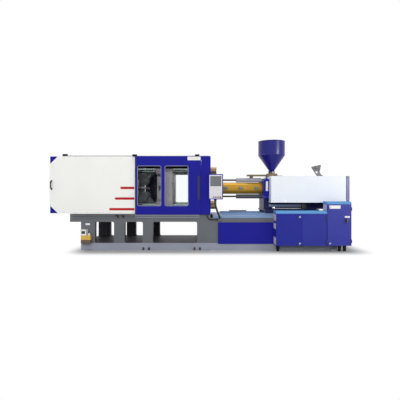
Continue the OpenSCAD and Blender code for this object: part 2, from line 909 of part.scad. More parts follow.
// Gate panel standing in the XZ plane: windows, pane rebates and a hanger over the top rail
module gate_panel(windows) {
    difference() {
        translate([gate_x, -gate_out, gate_z]) cube([gate_w, gate_t, gate_h]);
        for (w = windows) {
            plate_xz(-gate_out - 1, -gate_in + 1) translate([gate_x + w[0], gate_z + window_z])
                round_rect(w[1], window_h, window_r);
            plate_xz(-gate_in - pane_t - slide_gap, -gate_in + 1)
                translate([gate_x + w[0] - pane_lap, gate_z + window_z - pane_lap])
                    round_rect(w[1] + 2 * pane_lap, window_h + 2 * pane_lap, window_r);
        }
        block(gate_right - grip_edge - grip_w, gate_right - grip_edge, -gate_out - 1, -gate_out + grip_depth,
            axis_h - grip_h / 2, axis_h + grip_h / 2);
    }
    // Hangers that hook over the rail
    for (x = [gate_x - hanger_out, gate_right - hanger_w - 40]) {
        block(x, x + hanger_w, -gate_out + 6, -gate_in, gate_z + gate_h, guard_top + rail_h + 30);
        block(x, x + hanger_w, -gate_in, -gate_in + gate_gap + 20, guard_top + rail_h + slide_gap,
            guard_top + rail_h + 30);
    }
}

// The two panes of a gate
module gate_panes(windows) {
    gap = 1;
    for (w = windows)
        plate_xz(-gate_in - pane_t - slide_gap, -gate_in - slide_gap)
            translate([gate_x + w[0] - pane_lap + gap, gate_z + window_z - pane_lap + gap])
                round_rect(w[1] + 2 * (pane_lap - gap), window_h + 2 * (pane_lap - gap), window_r);
}

module operator_gate() {
    color(blue) gate_panel(front_windows);
}

module gate_windows() {
    color(clear) gate_panes(front_windows);
}

module gate_handle() {
    x1 = gate_right - grip_edge - 0.3;
    x0 = x1 - grip_w + 0.6;
    z0 = axis_h - grip_h / 2 + 0.3;
    z1 = z0 + grip_h - 0.6;
    wall = 5;
    color(dark) difference() {
        block(x0, x1, -gate_out - 3, -gate_out + grip_depth, z0, z1);
        block(x0 + wall, x1 - wall, -gate_out - 4, -gate_out + grip_depth - wall, z0 + wall, z1 - wall);
    }
}

module rear_gate() {
    color(blue) mirror([0, 1, 0]) gate_panel(rear_windows);
}

module rear_gate_windows() {
    color(clear) mirror([0, 1, 0]) gate_panes(rear_windows);
}

// Fixed guard beside a gate, with a return to the fixed platen
module fixed_guard() {
    x1 = fixed_guard_x + fixed_guard_w;
    block(fixed_guard_x, x1, -gate_out, front_y, gate_z, gate_z + gate_h);
    block(x1 - guard_sheet - 2, x1 - 2, front_y, -half_platen, bed_top + guard_lift, guard_top - 200);
}

module fixed_guards() {
    color(blue) {
        fixed_guard();
        mirror([0, 1, 0]) fixed_guard();
    }
}

// Sockets behind the panel buttons
module button_holes(y0, y1, extra) {
    for (i = [0:2]) bar_y(y0, y1, button_x + i * button_pitch, button_z, stem_d + extra);
    bar_y(y0, y1, estop_x, button_z, stem_d + extra);
}

module hmi_housing() {
    color(blue) difference() {
        union() {
            plate_xz(hmi_front, hmi_back) translate([hmi_x, hmi_z]) round_rect(hmi_w, hmi_h, 14);
            block(hmi_x - 120, hmi_x + 200, hmi_back, -gate_out, hmi_z + 200, hmi_z + 420);
            bar_z(hmi_z - 28, hmi_z + 1, hmi_x + 171, hmi_front + 64, conduit_d + 20);
        }
        button_holes(hmi_front - 1, hmi_front + 40, 6);
    }
}

module hmi_bezel() {
    w = hmi_w - 2 * bezel_inset;
    h = hmi_h - 2 * bezel_inset;
    y1 = hmi_front;
    y0 = y1 - bezel_t;
    screen_x = hmi_x + (hmi_w - screen_w) / 2;
    screen_z = hmi_z + hmi_h - bezel_inset - 28 - screen_h;
    color(pale_grey) {
        difference() {
            plate_xz(y0, y1) translate([hmi_x + bezel_inset, hmi_z + bezel_inset]) round_rect(w, h, 10);
            block(screen_x, screen_x + screen_w, y0 - 1, y1 + 1, screen_z, screen_z + screen_h);
            button_holes(y0 - 1, y1 + 1, 2 * run_gap);
        }
        // Membrane keys
        for (i = [0:6], j = [0:3])
            block(screen_x + i * 39, screen_x + i * 39 + 32, y0 - 2, y0 + 1,
                screen_z - 46 - j * 38, screen_z - 20 - j * 38);
    }
}

module hmi_screen() {
    screen_x = hmi_x + (hmi_w - screen_w) / 2;
    screen_z = hmi_z + hmi_h - bezel_inset - 28 - screen_h;
    g = 0.3;
    color([0.45, 0.45, 0.46])
        block(screen_x + g, screen_x + screen_w - g, hmi_front - 3, hmi_front,
            screen_z + g, screen_z + screen_h - g);
}

// Push button on a stem
module push_button(x, d) {
    bar_y(button_seat - button_h, button_seat, x, button_z, d);
    bar_y(button_seat, hmi_front + 20, x, button_z, stem_d);
}

module button_left() {
    color(dark) push_button(button_x, button_d);
}

module button_middle() {
    color(dark) push_button(button_x + button_pitch, button_d);
}

module button_right() {
    color(dark) push_button(button_x + 2 * button_pitch, button_d);
}

module emergency_stop() {
    color(red) {
        push_button(estop_x, estop_d);
        bar_y(button_seat - 2 * button_h, button_seat - button_h, estop_x, button_z, estop_d - 8);
    }
}

module carriage_rods() {
    color(steel) for (s = [-1, 1]) {
        z = axis_h + s * carriage_off;
        bar_x(fixed_back, rod_end, 0, z, carriage_rod_d);
        bar_x(fixed_back, fixed_back + 60, 0, z, carriage_rod_d + 40);
    }
}

// Sheet-metal box, open at the front
module cabinet_shell(x0, x1, top) {
    difference() {
        block(x0, x1, cab_body, front_y, cab_z, top);
        block(x0 + cab_t, x1 - cab_t, cab_body - 1, front_y - cab_t, cab_z + cab_t, top - cab_t);
    }
}

module cabinet() {
    color(blue) {
        cabinet_shell(cab_left, cab_split, cab_low_top);
        cabinet_shell(cab_split, cab_right, cab_tall_top);
        for (x = [cab_left + 70, cab_split + 350, cab_right - 110]) translate([x, front_y - 150, 0])
            cylinder(h = cab_z + 1, d1 = 60, d2 = 100);
    }
}

// Bevelled cap on a cabinet top
module cabinet_cap(x0, x1, z) {
    plate_yz(x0, x1) polygon([
        [cab_front, z], [front_y, z], [front_y, z + cap_h], [cab_front + 45, z + cap_h], [cab_front, z + 22]
    ]);
}

module cabinet_caps() {
    color(pale_blue) {
        cabinet_cap(cab_left, cab_split, cab_low_top);
        cabinet_cap(cab_split, cab_right, cab_tall_top);
    }
}

// Cabinet door with two hinge barrels at its hinge edge and latches at the other
module cabinet_door(x0, x1, top, hinge_x, latch_x) {
    z0 = cab_z + door_gap;
    z1 = top - door_gap;
    y = cab_front - hinge_d / 2;
    leaf = sign(latch_x - hinge_x) * 30;
    color(blue) {
        block(x0, x1, cab_front, cab_body - slide_gap, z0, z1);
        for (z = [z0 + 70, z1 - 70 - hinge_l]) {
            bar_z(z, z + hinge_l, hinge_x, y, hinge_d);
            block(min(hinge_x, hinge_x + leaf), max(hinge_x, hinge_x + leaf), y, cab_front + 1, z, z + hinge_l);
        }
        for (z = [z0 + 55, z1 - 75]) bar_y(cab_front - 8, cab_front + 1, latch_x, z, 34);
    }
}

module door_left() {
    x1 = cab_mid - door_gap / 2;
    cabinet_door(cab_left + door_gap, x1, cab_low_top, cab_left + door_gap, x1 - 60);
}

module door_middle() {
    x0 = cab_mid + door_gap / 2;
    x1 = cab_split - door_gap - hinge_d / 2;
    cabinet_door(x0, x1, cab_low_top, x1, x0 + 60);
}

module door_right() {
    x0 = cab_split + door_gap;
    x1 = cab_right - door_gap;
    cabinet_door(x0, x1, cab_tall_top, x1, x0 + 60);
}

// Main switch on the tall door: a round knob with a grip bar
module main_switch() {
    x = cab_right - 125;
    z = 760;
    color(dark) {
        bar_y(cab_front - 26, cab_front - slide_gap, x, z, switch_d);
        block(x - 12, x + 12, cab_front - 50, cab_front - 26, z - 55, z + 55);
    }
}

module lube_pump() {
    x = leg_1_x + 35;
    color(white) {
        block(x, x + 137, front_y - lube_d, front_y, sill_h + 6 + lube_h, sill_h + 6 + lube_h + 140);
        bar_z(sill_h + 6 + lube_h, sill_h + 50 + lube_h, x + 190, front_y - lube_d / 2, 60);
    }
}

module lube_reservoir() {
    x = leg_1_x + 35;
    color(brass) {
        translate([x, front_y - lube_d, sill_h + 6]) linear_extrude(lube_h) round_rect(lube_w, lube_d, 24);
    }
}

module drag_chain() {
    y0 = rear_y - chain_in - chain_w;
    y1 = rear_y - chain_in;
    color(dark) for (i = [0:chain_n - 1]) {
        x = chain_x + i * chain_pitch;
        block(x, x + chain_pitch - 4, y0, y1, table_top, table_top + chain_h);
        bar_y(y0, y1, x + chain_pitch / 2 - 2, table_top + chain_h - 2, 36);
        block(x, x + chain_pitch, y0 + 20, y1 - 20, table_top, table_top + 30);
    }
}

// Tube swept along a list of points
module tube(points, d, sides) {
    n = len(points);
    dirs = [for (i = [0:n - 1]) let (a = points[max(i - 1, 0)], b = points[min(i + 1, n - 1)])
        (b - a) / norm(b - a)];
    rings = [for (i = [0:n - 1]) let (
        t = dirs[i],
        u0 = cross(t, [0, 1, 0]),
        u = u0 / norm(u0),
        v = cross(t, u)
    ) for (k = [0:sides - 1]) let (a = 360 * k / sides) points[i] + d / 2 * (u * cos(a) + v * sin(a))];
    sides_f = [for (i = [0:n - 2], k = [0:sides - 1]) let (k2 = (k + 1) % sides)
        [i * sides + k, (i + 1) * sides + k, (i + 1) * sides + k2, i * sides + k2]];
    cap_0 = [for (k = [0:sides - 1]) k];
    cap_1 = [for (k = [sides - 1:-1:0]) (n - 1) * sides + k];
    polyhedron(rings, concat(sides_f, [cap_0, cap_1]));
}

// Route of the panel conduit
conduit_route = [
    [340, -936, 1240], [340, -936, 1180], [348, -933, 1110], [368, -922, 1040], [392, -905, 970],
    [418, -882, 905], [440, -860, 850], [450, -844, 815], [452, -840, 795], [452, -840, 780]
];
// Route of the thin lead
lead_route = [
    [414, -840, 763], [370, -840, 763], [310, -838, 763], [246, -836, 763], [204, -834, 771],
    [168, -832, 795], [144, -831, 831], [136, -830, 873], [136, -830, 893]
];

module hmi_conduit() {
    color(dark) tube(conduit_route, conduit_d, 10);
}

module guard_lead() {
    color(dark) tube(lead_route, lead_d, 10);
}

module moving_platen() {
    box_half = 320;
    box_h = 575;
    well_half = 210;
    well_up = 240;
    side_y = box_half - 50;
    side_pitch = 380;
    color(cast_grey) {
        difference() {
            union() {
                platen_plate(moving_back, moving_face);
                block(box_back, moving_back + 1, -box_half, box_half, axis_h - box_h, axis_h + box_h);
                at_tie_bars() bar_x(box_back, moving_back + 1, 0, 0, tie_d + 2 * sleeve_wall);
                pair_y(box_back, moving_face, half_platen - strip_w, half_platen - platen_bevel,
                    bed_top + strip_h + slide_gap, platen_z + platen_bevel);
            }
            tie_holes(box_back, moving_face);
            mould_holes(moving_face - 60, moving_face + 1);
            // Ejector well and the rod hole through the plate
            block(box_back - 1, moving_back, -well_half, well_half, axis_h - well_up, axis_h + well_up);
            bar_x(moving_back - 1, moving_face + 1, 0, axis_h, ejector_rod_d + 10);
            // Core pockets in the sides of the box
            for (s = [-1, 1], z = [axis_h - side_pitch, axis_h, axis_h + side_pitch])
                block(box_back + 35, moving_back - 30, s * side_y - 60, s * side_y + 60, z - 70, z + 70);
        }
        ears(layer_2, layer_3, platen_pin, box_back, eye_r);
    }
}

module ejector_cylinder() {
    color(bed_grey) difference() {
        union() {
            bar_x(moving_back - ejector_l, moving_back, 0, axis_h, ejector_d);
            bar_x(moving_back - 30, moving_back, 0, axis_h, ejector_d + 60);
        }
        bar_x(moving_back - ejector_l + 30, moving_back + 1, 0, axis_h, ejector_rod_d + 2 * run_gap);
    }
}

// Ejector rod with the knock-out head in front of the platen plate's rod hole
module ejector_plate() {
    color(steel) {
        bar_x(moving_back - ejector_l + 60, moving_face - 20, 0, axis_h, ejector_rod_d);
        bar_x(moving_face - 20, moving_face - 2, 0, axis_h, ejector_rod_d + 6);
    }
}

// Upper rear link: two plates on the tail pin, with knee stubs and the crosshead arm
module rear_link() {
    color(cast_grey) {
        for (side = [-1, 1]) {
            y0 = side > 0 ? layer_2 : -layer_3;
            plate_xz(y0, y0 + link_t) {
                link_bar(tail_pin, knee, eye_r, knee_r);
                link_bar(tail_pin, arm_pin, eye_r, small_eye_r);
                link_bar(arm_pin, knee, small_eye_r, knee_r / 2);
            }
            stub = side > 0 ? channel_h : -layer_2;
            bar_y(stub, stub + layer_2 - channel_h, knee[0], knee[1], pin_d);
        }
        bar_y(-layer_5, layer_5, tail_pin[0], tail_pin[1], pin_d);
        bar_y(-layer_2, layer_2, arm_pin[0], arm_pin[1], small_pin_d);
    }
}

// Upper front link: two plates on the platen pin, with wide knee eyes
module front_link() {
    eye = knee + knee_shift;
    color(cast_grey) {
        for (side = [-1, 1]) {
            y0 = side > 0 ? channel_h : -layer_1;
            difference() {
                plate_xz(y0, y0 + link_t) link_bar(platen_pin, eye, eye_r, knee_r);
                bar_y(y0 - 1, y0 + link_t + 1, eye[0], eye[1], pin_d + 2 * knee_play);
            }
        }
        bar_y(-layer_3, layer_3, platen_pin[0], platen_pin[1], pin_d);
    }
}

// Upper crosshead link: one plate with a wide eye on the rear link's arm pin
module crosshead_link() {
    eye = arm_pin + arm_shift;
    h = fork_gap - slide_gap;
    color(cast_grey) {
        difference() {
            plate_xz(-h, h) link_bar(cross_pin, eye, small_eye_r, small_eye_r);
            bar_y(-h - 1, h + 1, eye[0], eye[1], small_pin_d + 2 * arm_play);
        }
        bar_y(-fork_out, fork_out, cross_pin[0], cross_pin[1], small_pin_d);
    }
}

module upper() {
    translate([0, 0, axis_h]) children();
}

module lower() {
    translate([0, 0, axis_h]) mirror([0, 0, 1]) children();
}

module rear_link_upper() { upper() rear_link(); }

module rear_link_lower() { lower() rear_link(); }

module front_link_upper() { upper() front_link(); }

module front_link_lower() { lower() front_link(); }

module crosshead_link_upper() { upper() crosshead_link(); }

module crosshead_link_lower() { lower() crosshead_link(); }

// Crosshead: a forked upright on two guide rods, with the clamp piston rod behind it
module crosshead() {
    fork_h = 2 * (small_eye_r + fork_room);
    fork = cross_pin_h - fork_h / 2;
    color(cast_grey) translate([0, 0, axis_h]) {
        difference() {
            union() {
                plate_xz(-fork_out, fork_out)
                    link_bar([cross_x, cross_pin_h], [cross_x, -cross_pin_h], small_eye_r, small_eye_r);
                block(cross_x - boss_l / 2, cross_x + boss_l / 2, -guide_y, guide_y, -cross_arm_h, cross_arm_h);
                for (s = [-1, 1])
                    bar_x(cross_x - boss_l / 2, cross_x + boss_l / 2, s * guide_y, 0, 2 * boss_r);
            }
            for (s = [-1, 1]) {
                bar_x(cross_x - boss_l, cross_x + boss_l, s * guide_y, 0, guide_d + 2 * run_gap);
                bar_y(-fork_out - 1, fork_out + 1, cross_x, s * cross_pin_h, small_pin_d + 2 * run_gap);
                z0 = s > 0 ? fork : -fork - fork_h;
                block(cross_x - fork_h, cross_x + fork_h, -fork_gap, fork_gap, z0, z0 + fork_h);
            }
        }
        bar_x(tail_back - piston_in, cross_x, 0, 0, piston_d);
    }
}

module injection_housing() {
    top = axis_h + housing_up;
    bottom = axis_h - housing_down;
    color(blue) difference() {
        union() {
            block(housing_x, housing_back, -housing_half, housing_half, bottom, top);
            block(housing_back, block_end, -block_half, block_half, axis_h - block_half, axis_h + block_half);
            block(hopper_x - 130, hopper_x + 130, -110, 110, axis_h, column_top);
            // Foot and slide base
            block(housing_x, housing_back, -housing_half + 60, housing_half - 60, base_z, bottom + 1);
            block(housing_x, base_right, -base_half, base_half, base_z, base_z + base_t);
            // Welded beam along the carriage under the cover
            block(housing_back - 1, beam_right, -beam_half, beam_half,
                base_z + base_t - 1, inj_cover_z - 10);
            for (x = [housing_x + 20, base_right - shoe_l - 20])
                pair_y(x, x + shoe_l, rail_y - rail_w, rail_y + rail_w, rail_z + slide_gap, base_z + 1);
        }
        bar_x(housing_x - 1, block_end + 1, 0, axis_h, barrel_d + 2 * run_gap);
        bar_z(axis_h, column_top + 1, hopper_x, 0, throat_d);
        // Windows in the slide base
        for (x = [housing_back + slot_in, housing_back + slot_l + 2 * slot_in])
            block(x, x + slot_l, -300, 300, base_z - 1, base_z + base_t + 1);
    }
}

module barrel() {
    color(steel) difference() {
        union() {
            bar_x(nozzle_tip + 180, block_end, 0, axis_h, barrel_d);
            bar_x(nozzle_tip + 60, nozzle_tip + 180, 0, axis_h, nozzle_d);
            translate([nozzle_tip, 0, axis_h]) rotate([0, 90, 0]) cylinder(h = 60, d1 = 40, d2 = nozzle_d);
        }
        bar_x(nozzle_tip + 200, block_end + 1, 0, axis_h, screw_d + 2 * run_gap);
        bar_x(nozzle_tip - 1, nozzle_tip + 201, 0, axis_h, 12);
        bar_z(axis_h, axis_h + barrel_d, hopper_x, 0, screw_d - 4);
    }
}

// Heat guard round the barrel, with a seam and heater sockets
module barrel_cover() {
    sockets = [cover_x + 220, cover_x + 630, cover_x + 1045];
    color(gold) {
        difference() {
            union() {
                bar_x(cover_x, housing_x, 0, axis_h, cover_d);
                bar_x(seam_x, seam_x + seam_w, 0, axis_h, cover_d + 4);
            }
            bar_x(cover_x + 10, housing_x + 1, 0, axis_h, cover_d - 12);
            bar_x(cover_x - 1, cover_x + 11, 0, axis_h, barrel_d + 2 * run_gap);
        }
        for (x = sockets) bar_y(-cover_d / 2 - 26, -cover_d / 2 + 5, x, axis_h, socket_d);
    }
}

module carriage_cylinders() {
    color(bed_grey) for (s = [-1, 1]) {
        z = axis_h + s * carriage_off;
        difference() {
            union() {
                bar_x(housing_x - carriage_l, housing_x, 0, z, carriage_d);
                bar_x(housing_x - carriage_l, housing_x - carriage_l + 40, 0, z, carriage_d + 2);
            }
            bar_x(housing_x - carriage_l - 1, housing_x - 30, 0, z, carriage_rod_d + 2 * run_gap);
        }
    }
}

module injection_cylinders() {
    color(bed_grey) {
        for (s = [-1, 1]) difference() {
            bar_x(housing_back, housing_back + inject_l, s * inject_y, axis_h, inject_d);
            bar_x(housing_back + slot_in, housing_back + inject_l + 1, s * inject_y, axis_h,
                inject_rod_d + 2 * run_gap);
        }
        // Stroke measuring tube under the front of the cover
        bar_x(housing_back, gauge_x, gauge_y, gauge_z, gauge_d);
    }
}

module injection_cover() {
    t = inj_cover_t;
    w = inj_cover_half;
    x0 = housing_back;
    x1 = inj_cover_right;
    end = x1 + strip_end_w;
    color(white) difference() {
        block(x0, end, -w, w, inj_cover_z, inj_cover_top);
        block(x0 + t, end - t, -w + t, w - t, inj_cover_z - 1, inj_cover_top - t);
        block(x0 - 1, x0 + t + 1, -housing_half + 15, housing_half - 15,
            inj_cover_z - 1, axis_h + housing_up - 30);
        block(x0 - 1, hopper_x + 170, -150, 150, axis_h + housing_up - 31, inj_cover_top + 1);
        // Fold groove along the bottom and the joint of the end strip
        for (s = [-1, 1])
            block(x0 + 4, x1, s * w - 3, s * w + 3, inj_cover_z + 58, inj_cover_z + 64);
    }
}

module cover_fittings() {
    color(dark) {
        // Slanting bracket on the cover
        translate([hook_x, 0, inj_cover_top]) {
            plate_xz(-hook_t / 2, hook_t / 2) difference() {
                polygon([
                    [hook_neck, 0], [hook_w, 0], [hook_w, 13], [hook_w - 90, 60], [hook_neck + 39, 131],
                    [hook_neck + 79, hook_h - 8], [hook_neck + 45, hook_h], [0, hook_h - 50],
                    [0, hook_h - 80], [92, 118]
                ]);
                polygon([[92, 150], [hook_neck, 163], [hook_neck - 13, 70]]);
            }
            bar_y(-35, 35, 125, hook_h - 65, 70);
        }
        // Head of the stroke measuring tube, standing on the slide base
        block(gauge_x, gauge_x + head_l, gauge_y - 110, gauge_y + 45, base_z + base_t, gauge_z + 50);
        translate([catch_x, 0, inj_cover_top]) plate_xz(-catch_half, catch_half)
            polygon([[0, 0], [catch_l, 0], [catch_l, 20], [catch_l - 90, 42], [0, 42]]);
    }
}

module hopper_base() {
    x0 = hopper_x - seat_half;
    x1 = hopper_x + seat_half;
    leg_x = slide_left + leg_in;
    color(brass) difference() {
        union() {
            block(x0, x1, -seat_y, seat_y, column_top, slide_top);
            block(slide_left, x0 + 1, -slide_w / 2, slide_w / 2, slide_top - slide_t, slide_top);
            block(leg_x, leg_x + leg_t, -leg_y, leg_y, axis_h + carriage_off, slide_top - slide_t + 1);
        }
        bar_z(column_top - 1, slide_top + 1, hopper_x, 0, throat_d);
        bar_x(leg_x - 1, leg_x + leg_t + 1, 0, axis_h + carriage_off, carriage_d + 2 * slide_gap);
    }
}

// Plate that pushes the screw, with its two rods and the motor behind it
module drive_plate() {
    color(cast_grey) difference() {
        union() {
            block(drive_x, drive_x + drive_t, -drive_half_y, drive_half_y,
                axis_h - drive_half_z, axis_h + drive_half_z);
            for (s = [-1, 1])
                bar_x(housing_back + rod_out, drive_x + 1, s * inject_y, axis_h, inject_rod_d);
            bar_x(drive_x + drive_t, drive_x + drive_t + motor_l, 0, axis_h, motor_d);
            bar_x(drive_x + drive_t, drive_x + drive_t + flange_t, 0, axis_h, motor_d + flange_lip);
        }
        bar_x(drive_x - 1, drive_x + drive_t + screw_in, 0, axis_h, screw_d + 2 * run_gap);
    }
}

module screw() {
    x0 = nozzle_tip + 290;
    color(steel) {
        bar_x(x0, drive_x + drive_t + 60, 0, axis_h, screw_d);
        translate([x0 - 70, 0, axis_h]) rotate([0, 90, 0]) cylinder(h = 71, d1 = 10, d2 = screw_d - 6);
    }
}

module hopper_slider() {
    color(brass) difference() {
        union() {
            block(hopper_x - 128, hopper_x + 128, -105, 105, slide_top + 0.3, slide_top + 30);
            bar_z(slide_top + 29, hopper_out, hopper_x, 0, throat_d + 60);
        }
        bar_z(slide_top - 1, hopper_out + 1, hopper_x, 0, throat_d);
    }
}

module hopper() {
    r = hopper_d / 2;
    t = hopper_wall;
    o = throat_d / 2;
    color(blue) translate([hopper_x, 0, 0]) rotate_extrude($fn = 96) polygon([
        [o, hopper_out], [o + 42, hopper_out], [o + 42, hopper_out + 14], [o + t, hopper_out + 14],
        [r, hopper_seam - 6], [r + 4, hopper_seam], [r, hopper_seam + 6], [r, hopper_rim - 24],
        [r + 9, hopper_rim - 18], [r + 9, hopper_rim - 6], [r, hopper_rim], [0, hopper_rim + 16],
        [0, hopper_rim + 10], [r - t, hopper_rim - 8], [r - t, hopper_seam], [o, hopper_out + 20]
    ]);
}

bed_frame();
service_panels();
injection_table();
pump_motor();
fixed_platen();
tie_bars();
tie_bar_nuts();
tail_platen();
clamp_cylinder();
clamp_guards();
end_cover();
guard_handles();
gate_rails();
fixed_guards();
hmi_housing();
hmi_bezel();
hmi_screen();
carriage_rods();
cabinet();
cabinet_caps();
lube_pump();
lube_reservoir();
drag_chain();
hmi_conduit();
guard_lead();
moving_platen();
ejector_cylinder();
ejector_plate();
rear_link_upper();
rear_link_lower();
front_link_upper();
front_link_lower();
crosshead();
crosshead_link_upper();
crosshead_link_lower();
operator_gate();
gate_windows();
gate_handle();
rear_gate();
rear_gate_windows();
injection_housing();
barrel();
barrel_cover();
carriage_cylinders();
injection_cylinders();
injection_cover();
cover_fittings();
hopper_base();
drive_plate();
screw();
hopper_slider();
hopper();
door_left();
door_middle();
door_right();
main_switch();
button_left();
button_middle();
button_right();
emergency_stop();
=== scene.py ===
"""Looks of a horizontal toggle injection moulding machine, in metres, in the frame of its solids."""

import math

import bmesh
import bpy
from mathutils import Matrix, Vector


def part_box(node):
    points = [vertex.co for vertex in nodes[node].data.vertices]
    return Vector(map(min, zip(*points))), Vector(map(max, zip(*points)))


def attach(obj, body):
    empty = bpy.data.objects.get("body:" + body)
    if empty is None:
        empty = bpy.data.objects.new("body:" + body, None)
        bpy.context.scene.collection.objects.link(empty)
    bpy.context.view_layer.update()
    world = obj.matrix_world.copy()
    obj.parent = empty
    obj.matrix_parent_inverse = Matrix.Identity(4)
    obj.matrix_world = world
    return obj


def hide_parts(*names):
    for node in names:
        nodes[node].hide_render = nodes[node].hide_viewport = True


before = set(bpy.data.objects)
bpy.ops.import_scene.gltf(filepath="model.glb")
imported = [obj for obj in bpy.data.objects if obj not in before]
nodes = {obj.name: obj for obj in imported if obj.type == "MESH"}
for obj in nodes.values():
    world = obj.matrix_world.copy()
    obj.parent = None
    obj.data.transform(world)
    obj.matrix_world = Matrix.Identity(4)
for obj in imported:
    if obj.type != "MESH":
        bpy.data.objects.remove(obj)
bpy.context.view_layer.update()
scene = bpy.context.scene

# Camera: level, square to the machine's front, with the horizon a little above the picture's middle
CAMERA_AT = (-0.0375, -9.3, 1.425)
CAMERA_LENS = 30.6
HORIZON_SHIFT = -0.0175

# Floor disc, and the middle and half-lengths of the footprint round which it is grey paper, painted shade
# that fades into white past the reach
FLOOR_RADIUS = 60.0
FLOOR_SIDES = 96
FOOT_MIDDLE = (0.425, -0.05, 0)
FOOT_HALF = (3.075, 0.85, 1)
PAINTED_SHADE_REACH = (0.15, 0.75)

# Strength of the white surroundings as a light, and as they are seen
WORLD_LIGHT = 0.5
WORLD_SEEN = 1.0

# Cord routes, the same points as the solids
CONDUIT_D = 0.048
CONDUIT_ROUTE = [
    (0.340, -0.936, 1.240), (0.340, -0.936, 1.180), (0.348, -0.933, 1.110), (0.368, -0.922, 1.040),
    (0.392, -0.905, 0.970), (0.418, -0.882, 0.905), (0.440, -0.860, 0.850), (0.450, -0.844, 0.815),
    (0.452, -0.840, 0.795), (0.452, -0.840, 0.780),
]
LEAD_D = 0.026
LEAD_ROUTE = [
    (0.414, -0.840, 0.763), (0.370, -0.840, 0.763), (0.310, -0.838, 0.763), (0.246, -0.836, 0.763),
    (0.204, -0.834, 0.771), (0.168, -0.832, 0.795), (0.144, -0.831, 0.831), (0.136, -0.830, 0.873),
    (0.136, -0.830, 0.893),
]


def srgb(r, g, b):
    """Linear colour of an 8-bit screen colour."""
    def channel(v):
        v /= 255
        return v / 12.92 if v <= 0.04045 else ((v + 0.055) / 1.055) ** 2.4
    return (channel(r), channel(g), channel(b), 1.0)


# Screen colours of the finishes
BLUE = (26, 26, 140)
# Dark navy of the rear gate's inside: painted shade inside the gates
GATE_INSIDE_SHADE_BLUE = (22, 22, 46)
HOPPER_BLUE = (14, 12, 118)
CABINET_BLUE = (38, 43, 142)
# Paler blues of the middle and right doors: painted light on the cabinet's one blue
DOOR_MIDDLE_LIT_BLUE = (46, 52, 147)
DOOR_RIGHT_LIT_BLUE = (56, 61, 154)
COVER_END_BLUE = (60, 60, 160)
# Dark blue of the gate handle, also the painted shade along the gate's left edge
GRIP_AND_EDGE_SHADE_BLUE = (36, 38, 78)
NAVY = (30, 34, 78)
# Pale blues of the cabinet caps and the injection table: painted sheen of the light on their blue tops
CAP_SHEEN_BLUE = (88, 146, 200)
TABLE_SHEEN_BLUE = (128, 154, 190)
# Pale slate blue of the injection cylinders: painted light in their shade under the cover
LIT_SLATE_BLUE = (138, 154, 188)
LAVENDER = (196, 195, 216)
STRIP_LAVENDER = (132, 132, 167)
WHITE = (240, 241, 237)
COVER_WHITE = (239, 243, 249)
PLATE_WHITE = (228, 228, 225)
PALE_GREY = (212, 212, 216)
BED_GREY = (102, 105, 110)
# Darker grey of the bed's inside: painted shade in the bays
BED_INSIDE_SHADE_GREY = (62, 62, 68)
# Paler grey of the gate rail past the clamp guards: painted sheen
SILL_GREY = (146, 150, 164)
RAIL_SHEEN_GREY = (132, 136, 148)
PLATEN_GREY = (132, 127, 132)
# Greys of the carriage cylinders, one paint: paler above the barrel's axis as painted light, darker below
# it as painted shade
UPPER_CYLINDER_LIT_GREY = (164, 166, 176)
LOWER_CYLINDER_SHADE_GREY = (91, 92, 99)
LINK_GREY = (66, 70, 74)
FITTING_GREY = (46, 44, 55)
CONNECTOR_GREY = (122, 126, 116)
GASKET_GREY = (128, 128, 156)
SCREEN_GREY = (100, 101, 105)
# Dark chrome of the tie bars: painted reflection of their dark surroundings
SHADED_CHROME = (92, 104, 100)
STEEL = (188, 190, 194)
DARK_STEEL = (62, 58, 70)
ROD_STEEL = (48, 46, 44)
GOLD = (186, 142, 44)
BRASS = (160, 138, 104)
DARK_BRASS = (100, 88, 71)
AMBER = (206, 166, 60)
OIL_BROWN = (84, 58, 30)
RED = (184, 32, 38)
STOP_RED = (196, 30, 34)
BLACK = (24, 24, 28)
# Black of the gate rail's top under the clamp guards: painted shadow of the guards
RAIL_SHADOW_BLACK = (26, 27, 30)
RUBBER_BLACK = (22, 22, 25)

# Linear colours of the panes and the floor
PANE_TINT = (0.97, 0.985, 0.99, 1)
# Grey of the floor paper round the machine's foot: painted shade against the white farther off
PAPER_DARK = (0.50, 0.50, 0.50, 1)
PAPER_PALE = (0.54, 0.54, 0.54, 1)

# Range that holds most values of a noise
NOISE_LOW = 0.3
NOISE_HIGH = 0.7

# Sockets of a mix node for colours
MIX_FACTOR = 0
MIX_FIRST = 6
MIX_SECOND = 7
MIX_RESULT = 2


